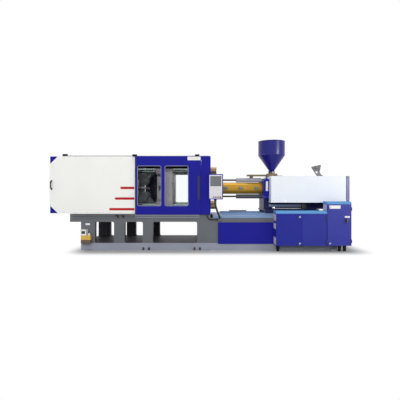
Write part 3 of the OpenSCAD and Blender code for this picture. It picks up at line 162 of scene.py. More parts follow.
class Finish:
    """A material under construction, with the node calls that every finish shares."""

    def __init__(self, name):
        self.material = bpy.data.materials.new(name)
        self.material.use_nodes = True
        self.tree = self.material.node_tree
        self.bsdf = self.tree.nodes["Principled BSDF"]
        self.place = self.tree.nodes.new("ShaderNodeTexCoord").outputs["Object"]

    def add(self, kind, **values):
        """New node; a value goes to the input of its name, else to the setting of its name."""
        node = self.tree.nodes.new(kind)
        for key, value in values.items():
            if key in node.inputs:
                node.inputs[key].default_value = value
            else:
                setattr(node, key, value)
        return node

    def link(self, source, target):
        self.tree.links.new(source, target)

    def set(self, **values):
        """Plain values of shader inputs, with an underscore for each space in their names."""
        for key, value in values.items():
            self.bsdf.inputs[key.replace("_", " ")].default_value = value

    def noise(self, scale, detail=3.0, stretch=None):
        """Noise through the object, finer along the axes that stretch scales up."""
        node = self.add("ShaderNodeTexNoise", Scale=scale, Detail=detail)
        place = self.place
        if stretch:
            mapping = self.add("ShaderNodeMapping")
            mapping.inputs["Scale"].default_value = stretch
            self.link(place, mapping.inputs["Vector"])
            place = mapping.outputs["Vector"]
        self.link(place, node.inputs["Vector"])
        return node.outputs["Fac"]

    def spread(self, fac, low, high):
        """Noise values near the middle stretched over low to high."""
        node = self.add("ShaderNodeMapRange")
        self.link(fac, node.inputs["Value"])
        node.inputs["From Min"].default_value = NOISE_LOW
        node.inputs["From Max"].default_value = NOISE_HIGH
        node.inputs["To Min"].default_value = low
        node.inputs["To Max"].default_value = high
        return node.outputs["Result"]

    def mix(self, fac, first, second):
        """Blend of two colours, each a plain one or a node's."""
        node = self.add("ShaderNodeMix", data_type="RGBA")
        self.link(fac, node.inputs[MIX_FACTOR])
        for place, value in ((MIX_FIRST, first), (MIX_SECOND, second)):
            if isinstance(value, tuple):
                node.inputs[place].default_value = value
            else:
                self.link(value, node.inputs[place])
        return node.outputs[MIX_RESULT]

    def above(self, axis, limit):
        """1 where the object's coordinate lies past the limit, else 0."""
        parts = self.add("ShaderNodeSeparateXYZ")
        self.link(self.place, parts.inputs["Vector"])
        test = self.add("ShaderNodeMath", operation="GREATER_THAN")
        self.link(parts.outputs[axis], test.inputs[0])
        test.inputs[1].default_value = limit
        return test.outputs["Value"]

    def fields(self, colour, fields):
        """A colour, with another one past each limit."""
        tone = srgb(*colour)
        for axis, limit, other in fields:
            tone = self.mix(self.above(axis, limit), tone, srgb(*other))
        return tone

    def shaded(self, tone, share):
        """A colour made darker or paler by a share that varies over the surface."""
        node = self.add("ShaderNodeVectorMath", operation="SCALE")
        if isinstance(tone, tuple):
            node.inputs[0].default_value = tone[:3]
        else:
            self.link(tone, node.inputs[0])
        self.link(share, node.inputs["Scale"])
        return node.outputs["Vector"]

    def colour(self, source):
        self.link(source, self.bsdf.inputs["Base Color"])

    def rough(self, fac, low, high):
        self.link(self.spread(fac, low, high), self.bsdf.inputs["Roughness"])

    def bump(self, height, strength, distance):
        node = self.add("ShaderNodeBump", Strength=strength, Distance=distance)
        self.link(height, node.inputs["Height"])
        self.link(node.outputs["Normal"], self.bsdf.inputs["Normal"])


def scaled(colour, share):
    """A linear colour made darker or paler."""
    return tuple(min(1.0, c * share) for c in colour[:3]) + (1.0,)


def paint(name, colour, rough=0.35, vary=0.06, peel=0.04, coat=0.0, coat_rough=0.06, fields=()):
    """Sprayed paint: slow colour drift, orange peel and uneven gloss, with fields of other colours."""
    f = Finish(name)
    drift = f.spread(f.noise(scale=1.3, detail=4.0), 1 - vary, 1 + vary)
    f.colour(f.shaded(f.fields(colour, fields), drift))
    f.rough(f.noise(scale=9.0), rough - 0.05, rough + 0.07)
    f.bump(f.noise(scale=420.0, detail=2.0), strength=peel, distance=0.001)
    f.set(Coat_Weight=coat, Coat_Roughness=coat_rough, Specular_IOR_Level=0.14)
    return f.material


def metal(name, colour, rough=0.3, vary=0.08, brush=None, metallic=1.0):
    """Bare metal with tool marks stretched along one axis and slightly uneven polish."""
    f = Finish(name)
    base = srgb(*colour)
    marks = f.noise(scale=60.0, detail=4.0, stretch=brush or (1, 1, 1))
    f.colour(f.mix(f.spread(marks, 0.0, 1.0), scaled(base, 1 - vary), scaled(base, 1 + vary)))
    f.rough(marks, rough - 0.06, rough + 0.08)
    f.bump(marks, strength=0.08, distance=0.0004)
    f.set(Metallic=metallic)
    return f.material


def casting(name, colour, rough=0.55):
    """Painted or oiled casting: coarse skin and darker patches."""
    f = Finish(name)
    base = srgb(*colour)
    patches = f.spread(f.noise(scale=5.0, detail=6.0), 0.0, 1.0)
    f.colour(f.mix(patches, scaled(base, 0.78), scaled(base, 1.12)))
    f.rough(f.noise(scale=24.0), rough - 0.1, rough + 0.1)
    f.bump(f.noise(scale=160.0, detail=4.0), strength=0.18, distance=0.0012)
    return f.material


def plastic(name, colour, rough=0.5, grain=0.08, coat=0.0, fields=()):
    """Moulded plastic with a fine spark-eroded grain, with fields of other colours."""
    f = Finish(name)
    f.colour(f.shaded(f.fields(colour, fields), f.spread(f.noise(scale=14.0), 0.93, 1.06)))
    f.rough(f.noise(scale=30.0), rough - 0.06, rough + 0.06)
    f.bump(f.noise(scale=900.0, detail=2.0), strength=grain, distance=0.0005)
    f.set(Coat_Weight=coat, Coat_Roughness=0.08)
    return f.material


def window_pane(name):
    """Clear polycarbonate with faint wiping haze."""
    f = Finish(name)
    haze = f.noise(scale=7.0, detail=5.0, stretch=(1.0, 1.0, 0.3))
    f.rough(haze, 0.02, 0.08)
    f.set(Base_Color=PANE_TINT, Transmission_Weight=1.0, IOR=1.08, Specular_IOR_Level=0.3)
    return f.material


def display(name):
    """Switched-off panel screen behind a glossy sheet."""
    f = Finish(name)
    base = srgb(*SCREEN_GREY)
    patches = f.spread(f.noise(scale=3.0), 0.0, 1.0)
    f.colour(f.mix(patches, scaled(base, 0.9), scaled(base, 1.08)))
    f.rough(f.noise(scale=20.0), 0.16, 0.24)
    f.set(Coat_Weight=0.5, Coat_Roughness=0.05)
    return f.material


# Limits past which a solid's paint takes another colour
COVER_STRIP_W = 0.089
COVER_STRIP_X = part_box("injection_cover")[1].x - COVER_STRIP_W
GUARD_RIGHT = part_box("clamp_guards")[1].x
SILL_TOP = 0.175
BED_FRONT = 0.796
CABINET_FOOT_TOP = 0.147
RAIL_FOOT_TOP = 0.876
BEAM_TOP = 1.265
BARREL_AXIS = 1.555
GATE_TOP = 2.340
GATE_SKIN = 0.850
OIL_LEVEL = 0.272

# Fields of another colour: axis, limit, colour past it
GATE_FIELDS = [("Z", GATE_TOP, BLACK)]
REAR_GATE_FIELDS = [("Y", GATE_SKIN, BLUE), ("Z", GATE_TOP, BLACK)]
HOUSING_FIELDS = [("Z", BEAM_TOP, BLUE)]
CABINET_FIELDS = [("Z", CABINET_FOOT_TOP, CABINET_BLUE)]
COVER_FIELDS = [("X", COVER_STRIP_X, COVER_END_BLUE)]
# The bed is painted darker grey inside, between its front and rear faces, as painted shade in the bays
BED_FIELDS = [("Z", SILL_TOP, BED_GREY), ("Y", -BED_FRONT, BED_INSIDE_SHADE_GREY), ("Y", BED_FRONT, BED_GREY)]
# The gate rail is painted black above its foot under the clamp guards, as painted shadow of the guards,
# and paler grey past the guards' right end, as painted sheen
RAIL_FIELDS = [("Z", RAIL_FOOT_TOP, RAIL_SHADOW_BLACK), ("X", GUARD_RIGHT, RAIL_SHEEN_GREY)]
# The carriage cylinders are painted paler above the barrel's axis, as painted light, and darker below it,
# as painted shade
CYLINDER_FIELDS = [("Z", BARREL_AXIS, UPPER_CYLINDER_LIT_GREY)]
RESERVOIR_FIELDS = [("Z", OIL_LEVEL, AMBER)]

blue = paint("blue_paint", BLUE, rough=0.34)
gate_blue = paint("gate_paint", BLUE, rough=0.34, fields=GATE_FIELDS)
# The rear gate is painted dark navy on its inside, as painted shade, and blue past GATE_SKIN on its outer
# skin
rear_gate_blue_and_shade = paint("rear_gate_paint_and_shade", GATE_INSIDE_SHADE_BLUE, rough=0.4, fields=REAR_GATE_FIELDS)
housing_blue = paint("housing_paint", NAVY, rough=0.38, fields=HOUSING_FIELDS)
cabinet_blue = paint("cabinet_blue_paint", BLACK, rough=0.36, fields=CABINET_FIELDS)
left_blue = paint("left_door_paint", CABINET_BLUE, rough=0.36)
# The middle and right doors are the cabinet's blue painted a step paler each, as painted light
middle_lit_blue = paint("middle_door_lit_paint", DOOR_MIDDLE_LIT_BLUE, rough=0.36)
right_lit_blue = paint("right_door_lit_paint", DOOR_RIGHT_LIT_BLUE, rough=0.36)
hopper_blue = paint("hopper_blue_paint", HOPPER_BLUE, rough=0.34, coat=0.5, coat_rough=0.17)
white = paint("white_paint", WHITE, rough=0.42, vary=0.02)
cover_white = paint("cover_paint", COVER_WHITE, rough=0.42, vary=0.02, fields=COVER_FIELDS)
bed_grey = paint("bed_paint", SILL_GREY, rough=0.5, vary=0.08, peel=0.1, fields=BED_FIELDS)
machine_grey = paint("machine_paint", BED_GREY, rough=0.45, vary=0.08, peel=0.1)
rail_paint = paint("rail_paint", BED_GREY, rough=0.4, fields=RAIL_FIELDS)
# The cabinet caps and the injection table are painted pale blue, as painted sheen of the light on their
# tops
cap_sheen_blue = paint("cap_sheen_paint", CAP_SHEEN_BLUE, rough=0.4)
table_sheen_blue = paint("table_sheen_paint", TABLE_SHEEN_BLUE, rough=0.42)
cylinder_grey = paint("cylinder_paint", LOWER_CYLINDER_SHADE_GREY, rough=0.4, fields=CYLINDER_FIELDS)
# The injection cylinders are painted pale, as painted light in their shade under the cover
lit_slate_blue = paint("lit_cylinder_paint", LIT_SLATE_BLUE, rough=0.4)
red = paint("red_stripe", RED, rough=0.4)
lavender = paint("grille_paint", LAVENDER, rough=0.4, vary=0.02)
strip_lavender = paint("strip_paint", STRIP_LAVENDER, rough=0.4, vary=0.02)
gold = metal("gold_sheet", GOLD, rough=0.34, vary=0.12, brush=(10, 1, 1), metallic=0.55)
platen_grey = casting("platen_paint", PLATEN_GREY)
link_iron = casting("link_iron", LINK_GREY, rough=0.45)
fitting_grey = casting("fitting_paint", FITTING_GREY, rough=0.5)
# The tie bars' chrome is painted dark, as painted reflection of their dark surroundings
shaded_chrome = metal("chrome_bar", SHADED_CHROME, rough=0.2, brush=(1, 14, 14))
steel = metal("bright_steel", STEEL, rough=0.28, brush=(1, 12, 12))
rod_steel = metal("rod_steel", ROD_STEEL, rough=0.3, brush=(1, 12, 12))
dark_steel = metal("dark_steel", DARK_STEEL, rough=0.36)
bronze = metal("bronze", BRASS, rough=0.34, metallic=0.8)
slide_bronze = metal("slide_bronze", DARK_BRASS, rough=0.45, metallic=0.7)
black_plastic = plastic("black_plastic", BLACK, rough=0.5)
grip_and_edge_shade_plastic = plastic("grip_and_edge_shade_plastic", GRIP_AND_EDGE_SHADE_BLUE, rough=0.5)
white_plastic = plastic("white_plastic", PLATE_WHITE, rough=0.45)
pale_plastic = plastic("bezel_plastic", PALE_GREY, rough=0.45)
grey_plastic = plastic("connector_plastic", CONNECTOR_GREY, rough=0.5)
red_plastic = plastic("red_plastic", STOP_RED, rough=0.3, coat=0.4)
amber_plastic = plastic("amber_plastic", OIL_BROWN, rough=0.22, coat=0.6, fields=RESERVOIR_FIELDS)
rubber = plastic("cable_rubber", RUBBER_BLACK, rough=0.62, grain=0.2)
gasket = plastic("pane_gasket", GASKET_GREY, rough=0.6)
pane = window_pane("pane")
screen_glass = display("screen_glass")

NODE_FINISHES = {
    bed_grey: ["bed_frame"],
    machine_grey: ["clamp_cylinder", "ejector_cylinder"],
    rail_paint: ["gate_rails"],
    blue: ["service_panels", "pump_motor", "end_cover", "fixed_guards", "hmi_housing"],
    gate_blue: ["operator_gate"],
    rear_gate_blue_and_shade: ["rear_gate"],
    housing_blue: ["injection_housing"],
    hopper_blue: ["hopper"],
    cabinet_blue: ["cabinet"],
    left_blue: ["door_left"],
    middle_lit_blue: ["door_middle"],
    right_lit_blue: ["door_right"],
    white: ["clamp_guards"],
    cover_white: ["injection_cover"],
    cap_sheen_blue: ["cabinet_caps"],
    table_sheen_blue: ["injection_table"],
    platen_grey: ["fixed_platen", "moving_platen", "tail_platen", "drive_plate"],
    link_iron: ["rear_link_upper", "rear_link_lower", "front_link_upper", "front_link_lower", "crosshead",
                "crosshead_link_upper", "crosshead_link_lower"],
    cylinder_grey: ["carriage_cylinders"],
    lit_slate_blue: ["injection_cylinders"],
    gold: ["barrel_cover"],
    shaded_chrome: ["tie_bars"],
    rod_steel: ["carriage_rods"],
    steel: ["barrel", "screw", "ejector_plate"],
    fitting_grey: ["cover_fittings"],
    bronze: ["tie_bar_nuts"],
    slide_bronze: ["hopper_base", "hopper_slider"],
    black_plastic: ["guard_handles", "drag_chain", "main_switch", "button_left", "button_middle",
                    "button_right"],
    grip_and_edge_shade_plastic: ["gate_handle"],
    white_plastic: ["lube_pump"],
    pale_plastic: ["hmi_bezel"],
    red_plastic: ["emergency_stop"],
    amber_plastic: ["lube_reservoir"],
    rubber: ["hmi_conduit", "guard_lead"],
    pane: ["gate_windows", "rear_gate_windows"],
    screen_glass: ["hmi_screen"],
}


def add_camera():
    """Camera that looks level at the machine's front."""
    data = bpy.data.cameras.new("photo_camera")
    data.lens = CAMERA_LENS
    data.shift_y = HORIZON_SHIFT
    camera = bpy.data.objects.new("photo_camera", data)
    camera.location = CAMERA_AT
    camera.rotation_euler = (math.pi / 2, 0, 0)
    scene.collection.objects.link(camera)
    scene.camera = camera


def add_cord(name, route, diameter, node):
    """Round cable along a route, in place of its solid."""
    curve = bpy.data.curves.new(name, "CURVE")
    curve.dimensions = "3D"
    curve.bevel_depth = diameter / 2
    curve.bevel_resolution = 4
    curve.use_fill_caps = True
    spline = curve.splines.new("BEZIER")
    spline.bezier_points.add(len(route) - 1)
    for point, at in zip(spline.bezier_points, route):
        point.co = at
        point.handle_left_type = point.handle_right_type = "AUTO"
    cable = bpy.data.objects.new(name, curve)
    scene.collection.objects.link(cable)
    curve.materials.append(rubber)
    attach(cable, "machine")
    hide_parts(node)


def dress_nodes():
    """Give each solid its finish."""
    for material, names in NODE_FINISHES.items():
        for name in names:
            slots = nodes[name].data.materials
            slots.clear()
            slots.append(material)


# Faces of the machine: their right, up and outward directions, as seen from outside
FACES = {
    "front": ((1, 0, 0), (0, 0, 1), (0, -1, 0)),
    "rear": ((-1, 0, 0), (0, 0, 1), (0, 1, 0)),
    "left": ((0, -1, 0), (0, 0, 1), (-1, 0, 0)),
    "right": ((0, 1, 0), (0, 0, 1), (1, 0, 0)),
    "top": ((1, 0, 0), (0, 1, 0), (0, 0, 1)),
}

# Details reach this far into the face that carries them
SEAT = -0.0005
BROKEN_EDGE = 0.001
LEAST_ROUND = 0.0004
CORNER_STEPS = 6
MERGE_DISTANCE = 1e-6
SHARP_ANGLE = math.radians(35)


def stand(face, x, y, z):
    """Place on a face: local Z points out of it, local X and Y lie in it."""
    where = Matrix(FACES[face]).transposed().to_4x4()
    where.translation = (x, y, z)
    return where


def outline(w, h, r, z):
    """Rounded rectangle round the origin, counter-clockwise."""
    r = min(r, w / 2, h / 2)
    points = []
    for quarter, (sx, sy) in enumerate(((1, 1), (-1, 1), (-1, -1), (1, -1))):
        for k in range(CORNER_STEPS + 1):
            a = math.pi / 2 * (quarter + k / CORNER_STEPS)
            points.append((sx * (w / 2 - r) + r * math.cos(a), sy * (h / 2 - r) + r * math.sin(a), z))
    return points


def loft(bm, where, rings, loop=False):
    """Skin over rings of points; a loop runs back into its first ring, else both ends are capped."""
    rows = [[bm.verts.new(where @ Vector(p)) for p in ring] for ring in rings]
    pairs = list(zip(rows, rows[1:])) + ([(rows[-1], rows[0])] if loop else [])
    for low, high in pairs:
        for i in range(len(low)):
            j = (i + 1) % len(low)
            bm.faces.new((low[i], low[j], high[j], high[i]))
    if not loop:
        bm.faces.new(rows[0][::-1])
        bm.faces.new(rows[-1])


def slab(bm, where, w, h, t, r=0.004, edge=BROKEN_EDGE):
    """Rounded plate with a broken front edge."""
    front_round = max(r - edge, LEAST_ROUND)
    loft(bm, where, [
        outline(w, h, r, SEAT),
        outline(w, h, r, t - edge),
        outline(w - 2 * edge, h - 2 * edge, front_round, t),
    ])


def border(bm, where, w, h, band, t, r):
    """Raised frame of a band's width round a rounded opening."""
    edge = BROKEN_EDGE

    def ring(inset, z):
        return outline(w - 2 * inset, h - 2 * inset, max(r - inset, edge), z)

    loft(bm, where, [
        ring(0, SEAT),
        ring(0, t - edge),
        ring(edge, t),
        ring(band - edge, t),
        ring(band, t - edge),
        ring(band, SEAT),
    ], loop=True)


def turned(bm, where, profile, n=24):
    """Turned piece of n sides on local Z from (radius, height) pairs."""
    turns = [2 * math.pi * k / n for k in range(n)]
    loft(bm, where, [[(r * math.cos(a), r * math.sin(a), z) for a in turns] for r, z in profile])


def screw_head(bm, where, d):
    """Domed head with a socket, by shares of its diameter."""
    turned(bm, where, [
        (d / 2, SEAT),
        (d / 2, d * 0.12),
        (d * 0.4, d * 0.3),
        (d * 0.2, d * 0.36),
        (d * 0.16, d * 0.24),
    ], n=16)


def hex_bolt(bm, where, d):
    """Hexagon head on its washer, by shares of the bolt's diameter."""
    turned(bm, where, [(d, SEAT), (d, d * 0.1), (d * 0.94, d * 0.14)])
    turned(bm, where, [(d * 0.87, d * 0.13), (d * 0.87, d * 0.6), (d * 0.76, d * 0.7)], n=6)


def louvre(bm, where, w, h):
    """Vent grille: a frame with slanting blades."""
    band = 0.012
    depth = 0.008
    pitch = 0.02
    end_room = 0.03
    blade_gap = 0.022
    blade_h = 0.017
    blade_t = 0.0022
    blade_lift = 0.003
    border(bm, where, w, h, band, depth, r=0.008)
    count = int((h - end_room) / pitch)
    slant = Matrix.Rotation(math.radians(-32), 4, "X")
    for i in range(count):
        y = (i + 0.5 - count / 2) * pitch
        blade = where @ Matrix.Translation((0, y, blade_lift)) @ slant
        slab(bm, blade, w - blade_gap, blade_h, blade_t, r=0.001, edge=0.0005)


def wedge(bm, where, w, h, t):
    """Three-cornered block standing out of a face, deepest at its foot."""
    foot_h = 0.008
    tip_t = 0.004
    loft(bm, where, [[
        (x, -h / 2, SEAT),
        (x, -h / 2, t),
        (x, -h / 2 + foot_h, t),
        (x, h / 2, tip_t),
        (x, h / 2, SEAT),
    ] for x in (w / 2, -w / 2)])


def shadow_gusset(bm, where, w, h, t):
    """Three-cornered plate lying on a face, with its point down at the right."""
    point_in = 0.015
    edge = BROKEN_EDGE

    def corners(inset, z):
        return [
            (-w / 2 + 2 * inset, h / 2 - inset, z),
            (w / 2 - point_in, -h / 2 + 2 * inset, z),
            (w / 2 - inset, h / 2 - inset, z),
        ]

    loft(bm, where, [corners(0, SEAT), corners(0, t - edge), corners(edge, t)])


def piece(name, bm, material, body):
    """Visible piece of a mesh under construction, riding on a body."""
    bmesh.ops.remove_doubles(bm, verts=bm.verts, dist=MERGE_DISTANCE)
    mesh = bpy.data.meshes.new(name)
    bm.to_mesh(mesh)
    bm.free()
    mesh.materials.append(material)
    mesh.shade_smooth()
    mesh.set_sharp_from_angle(angle=SHARP_ANGLE)
    thing = bpy.data.objects.new(name, mesh)
    scene.collection.objects.link(thing)
    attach(thing, body)


def steps(first, last, count):
    """Evenly spaced values from first to last."""
    return [first + (last - first) * i / (count - 1) for i in range(count)]


# Slabs below are given as width, height, thickness, corner radius and, where it differs, broken edge

# Clamp guards: stripes by level and left end, screws by their distance from the ends and edges
STRIPES = ((1.552, -2.03), (1.287, -2.17), (1.020, -2.31))
STRIPE_H = 0.060
STRIPE_T = 0.003
STRIPE_GAP = 0.012
GUARD_SCREW_D = 0.018
GUARD_SCREW_COUNT = 7
GUARD_SCREW_LEFT = 0.36
GUARD_SCREW_RIGHT = 0.06
GUARD_SCREW_BOTTOM = 0.035
GUARD_SCREW_TOP = 0.045
# Black three-cornered plates on the gate rail, as painted shadows: places, then width, height and
# thickness
SHADOW_GUSSETS = ((-2.107, 0.834), (-1.968, 0.828))
SHADOW_GUSSET_SIZE = (0.110, 0.085, 0.012)


def add_guard_details():
    """Red stripes and screws on the clamp guards, and black three-cornered plates on the rail below them
    as painted shadows.
    """
    low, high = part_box("clamp_guards")
    right = high.x - STRIPE_GAP
    bm = bmesh.new()
    for level, left in STRIPES:
        at = stand("front", (left + right) / 2, low.y, level)
        slab(bm, at, right - left, STRIPE_H, STRIPE_T, STRIPE_H / 2)
    piece("guard_stripes", bm, red, "machine")

    bm = bmesh.new()
    for x in steps(low.x + GUARD_SCREW_LEFT, high.x - GUARD_SCREW_RIGHT, GUARD_SCREW_COUNT):
        for z in (low.z + GUARD_SCREW_BOTTOM, high.z - GUARD_SCREW_TOP):
            screw_head(bm, stand("front", x, low.y, z), GUARD_SCREW_D)
            screw_head(bm, stand("rear", x, high.y, z), GUARD_SCREW_D)
    piece("guard_screws", bm, steel, "machine")

    rail_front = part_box("gate_rails")[0].y
    # Black three-cornered plates: painted shadows on the rail
    bm = bmesh.new()
    for x, z in SHADOW_GUSSETS:
        shadow_gusset(bm, stand("front", x, rail_front, z), *SHADOW_GUSSET_SIZE)
    piece("rail_shadow_gussets", bm, black_plastic, "machine")


# Gates: the hangers' reach past the panel, then the windows, their gaskets, black strips at their tops as
# painted shade, a dark strip at the gate's left edge as painted shade, and a plate
HANGER_OUT = 0.065
WINDOW_SIDE = 0.065
WINDOW_POST = 0.095
WINDOW_W = (0.585, 0.580)
WINDOW_SILL = 0.212
WINDOW_HEAD = 0.238
GASKET_LAP = 0.012
GASKET_BAND = 0.016
GASKET_T = 0.004
GASKET_ROUND = 0.046
# Black strips behind the tops of the windows: painted shade under the gate's top
HEADER_SHADE_LAP = 0.050
HEADER_SHADE_H = 0.090
HEADER_SHADE_T = 0.004
HEADER_SHADE_DROP = 0.020
# Dark strip along the gate's left edge: painted shade of that edge
GATE_EDGE_IN = 0.017
GATE_EDGE_W = 0.032
GATE_EDGE_T = 0.004
GATE_EDGE_GAP = 0.006
GATE_PLATE = (0.325, 0.092, 0.002, 0.006)
GATE_PLATE_IN = 0.173
GATE_PLATE_DOWN = 0.056
GATE_PLATE_SCREW_D = 0.008
GATE_PLATE_SCREW_OUT = 0.140


def add_gate_details():
    """Window gaskets of both gates; black strips at the window tops and a dark strip at the left edge,
    both painted shade, and a plain plate of the operator gate.
    """
    low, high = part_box("operator_gate")
    left = low.x + HANGER_OUT
    sill = low.z + WINDOW_SILL
    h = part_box("fixed_guards")[1].z - WINDOW_HEAD - sill
    window_left = left + WINDOW_SIDE
    windows = (
        (window_left, WINDOW_W[0]),
        (window_left + WINDOW_W[0] + WINDOW_POST, WINDOW_W[1]),
    )
    gates = (
        ("operator_gate", "front", low.y, windows),
        ("rear_gate", "rear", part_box("rear_gate")[1].y, windows[1:]),
    )
    for body, face, y, shown in gates:
        bm = bmesh.new()
        for x, w in shown:
            at = stand(face, x + w / 2, y, sill + h / 2)
            border(bm, at, w + GASKET_LAP, h + GASKET_LAP, GASKET_BAND, GASKET_T, GASKET_ROUND)
        piece(body + "_gaskets", bm, gasket, body)

    pane_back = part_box("gate_windows")[1].y - SEAT
    # Black strips behind the tops of the windows: painted shade under the gate's top
    bm = bmesh.new()
    for x, w in windows:
        at = stand("rear", x + w / 2, pane_back, sill + h - HEADER_SHADE_DROP)
        slab(bm, at, w + HEADER_SHADE_LAP, HEADER_SHADE_H, HEADER_SHADE_T)
    piece("gate_header_shades", bm, black_plastic, "operator_gate")

    # Dark strip along the gate's left edge: painted shade of that edge
    bm = bmesh.new()
    at = stand("front", left + GATE_EDGE_IN, low.y, (low.z + GATE_TOP) / 2)
    slab(bm, at, GATE_EDGE_W, GATE_TOP - low.z - GATE_EDGE_GAP, GATE_EDGE_T)
    piece("gate_edge_shade", bm, grip_and_edge_shade_plastic, "operator_gate")

    plate_x = high.x - GATE_PLATE_IN
    plate_z = GATE_TOP - GATE_PLATE_DOWN
    plate_front = low.y - GATE_PLATE[2]
    bm = bmesh.new()
    slab(bm, stand("front", plate_x, low.y, plate_z), *GATE_PLATE)
    for x in (plate_x - GATE_PLATE_SCREW_OUT, plate_x + GATE_PLATE_SCREW_OUT):
        screw_head(bm, stand("front", x, plate_front, plate_z), GATE_PLATE_SCREW_D)
    piece("gate_plate", bm, white_plastic, "operator_gate")


# Injection unit: heater connectors, the cover's end strip, screws, a bright rod and a plain plate
HEATER_X = (0.650, 1.060, 1.475)
HEATER_DROP = 0.002
HEATER_SINK = 0.003
HEATER_SOCKET = (0.112, 0.078, 0.026, 0.022, 0.005)
HEATER_PLUG = (0.080, 0.052, 0.012, 0.016, 0.004)
STRIP_ROUND = 0.006
STRIP_EDGE = 0.0015
STRIP_INSET_W = 0.046
STRIP_INSET_T = 0.004
STRIP_INSET_ENDS = 0.10
STRIP_CAP_H = 0.042
STRIP_CAP_T = 0.005
STRIP_CAP_IN = 0.022
STRIP_CAP_GAP = 0.004
COVER_SCREW_D = 0.016
COVER_SCREW_COUNT = 7
COVER_SCREW_IN = 0.06
COVER_SCREW_UP = 0.03
HOUSING_FRONT = -0.400
HOUSING_SCREW_D = 0.022
HOUSING_SCREW_X = (1.665, 1.750)
HOUSING_SCREW_Z = (1.320, 1.780)
HOUSING_PLATE = (0.060, 0.255, 0.003, 0.012)
HOUSING_PLATE_X = 1.715
HOUSING_PLATE_Z = 1.605
FLANGE_BOLT_D = 0.018
FLANGE_BOLT_Y = (-0.33, -0.2, 0.2, 0.33)
FLANGE_BOLT_Z = (1.33, 1.75)
BASE_TOP = 1.000
ROD_X = 1.900
ROD_UP = 0.020
ROD_PROFILE = ((0.016, 0), (0.020, 0.004), (0.020, 0.660), (0.015, 0.666), (0.015, 0.700))
RING_X = 1.878
RING_Y = -0.380
RING_UP = 0.034
RING_PROFILE = ((0.026, 0), (0.034, 0.003), (0.034, 0.037), (0.026, 0.040))


def add_injection_details():
    """Connectors on the barrel guard, trim and screws of cover and housing, a rod on the slide base."""
    socket_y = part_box("barrel_cover")[0].y + HEATER_SINK
    socket_z = BARREL_AXIS - HEATER_DROP
    bm = bmesh.new()
    for x in HEATER_X:
        slab(bm, stand("front", x, socket_y, socket_z), *HEATER_SOCKET)
        slab(bm, stand("front", x, socket_y - HEATER_SOCKET[2], socket_z), *HEATER_PLUG)
    piece("heater_connectors", bm, grey_plastic, "injection_unit")

    low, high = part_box("injection_cover")
    strip_x = (COVER_STRIP_X + high.x) / 2
    inset_h = high.z - low.z - STRIP_INSET_ENDS
    bm = bmesh.new()
    at = stand("front", strip_x, low.y, (low.z + high.z) / 2)
    slab(bm, at, STRIP_INSET_W, inset_h, STRIP_INSET_T, STRIP_ROUND, STRIP_EDGE)
    piece("strip_inset", bm, strip_lavender, "injection_unit")

    cap_w = high.x - COVER_STRIP_X - STRIP_CAP_GAP
    bm = bmesh.new()
    for z in (low.z + STRIP_CAP_IN, high.z - STRIP_CAP_IN):
        at = stand("front", strip_x, low.y, z)
        slab(bm, at, cap_w, STRIP_CAP_H, STRIP_CAP_T, STRIP_ROUND, STRIP_EDGE)
    piece("strip_caps", bm, black_plastic, "injection_unit")

    bm = bmesh.new()
    for x in steps(low.x + COVER_SCREW_IN, COVER_STRIP_X - COVER_SCREW_IN, COVER_SCREW_COUNT):
        screw_head(bm, stand("front", x, low.y, low.z + COVER_SCREW_UP), COVER_SCREW_D)
        screw_head(bm, stand("rear", x, high.y, low.z + COVER_SCREW_UP), COVER_SCREW_D)
    for x in HOUSING_SCREW_X:
        for z in HOUSING_SCREW_Z:
            screw_head(bm, stand("front", x, HOUSING_FRONT, z), HOUSING_SCREW_D)
    flange_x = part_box("injection_housing")[0].x
    for y in FLANGE_BOLT_Y:
        for z in FLANGE_BOLT_Z:
            hex_bolt(bm, stand("left", flange_x, y, z), FLANGE_BOLT_D)
    piece("injection_bolts", bm, steel, "injection_unit")

    bm = bmesh.new()
    turned(bm, stand("right", ROD_X, HOUSING_FRONT, BASE_TOP + ROD_UP), ROD_PROFILE)
    turned(bm, stand("front", RING_X, RING_Y, BASE_TOP + RING_UP), RING_PROFILE)
    piece("base_rod", bm, steel, "injection_unit")

    bm = bmesh.new()
    slab(bm, stand("front", HOUSING_PLATE_X, HOUSING_FRONT, HOUSING_PLATE_Z), *HOUSING_PLATE)
    piece("housing_plate", bm, white_plastic, "injection_unit")


# Cabinets: grilles by their bottom and top, then latches, hinge sleeves and plain plates of the doors
GRILLE_Y = -0.945
GRILLE_W = 0.215
LOW_GRILLES = ((0.745, 0.905), (0.550, 0.685), (0.165, 0.345))
TALL_LEFT = 3.035
TALL_GRILLE_Z = 1.068
TALL_GRILLE_H = 0.150
DOOR_FRONT = -1.100
LATCH_FRONT = -1.108
LATCH_IN = 0.060
LATCH_BOTTOM = 0.055
LATCH_TOP = 0.075
LATCH_ROSE = ((0.021, SEAT), (0.021, 0.004), (0.016, 0.008), (0.009, 0.009))
LATCH_GRIP = (0.012, 0.062, 0.010, 0.006, 0.003)
LATCH_GRIP_OUT = 0.008
LATCH_TURN = math.radians(-40)
HINGE_Y = -1.110
HINGE_R = 0.010
HINGE_L = 0.080
HINGE_END = 0.070
SLEEVE_T = 0.0006
SLEEVE_LIP = 0.002
SLEEVE_PROFILE = (
    (HINGE_R - SLEEVE_LIP, -SLEEVE_LIP),
    (HINGE_R + SLEEVE_T, BROKEN_EDGE),
    (HINGE_R + SLEEVE_T, HINGE_L - BROKEN_EDGE),
    (HINGE_R - SLEEVE_LIP, HINGE_L + SLEEVE_LIP),
)
SWITCH_PLATE = (0.122, 0.042, 0.003, 0.005)
SWITCH_PLATE_X = 3.515
SWITCH_PLATE_Z = 0.848
DOOR_PLATE = (0.270, 0.080, 0.003, 0.008)
DOOR_PLATE_X = 3.217
DOOR_PLATE_Z = 1.085


def latch(bm, x, z):
    """Turn latch on a door: a round rose and a slanting grip."""
    turned(bm, stand("front", x, LATCH_FRONT, z), LATCH_ROSE)
    grip = stand("front", x, LATCH_FRONT - LATCH_GRIP_OUT, z) @ Matrix.Rotation(LATCH_TURN, 4, "Z")
    slab(bm, grip, *LATCH_GRIP)


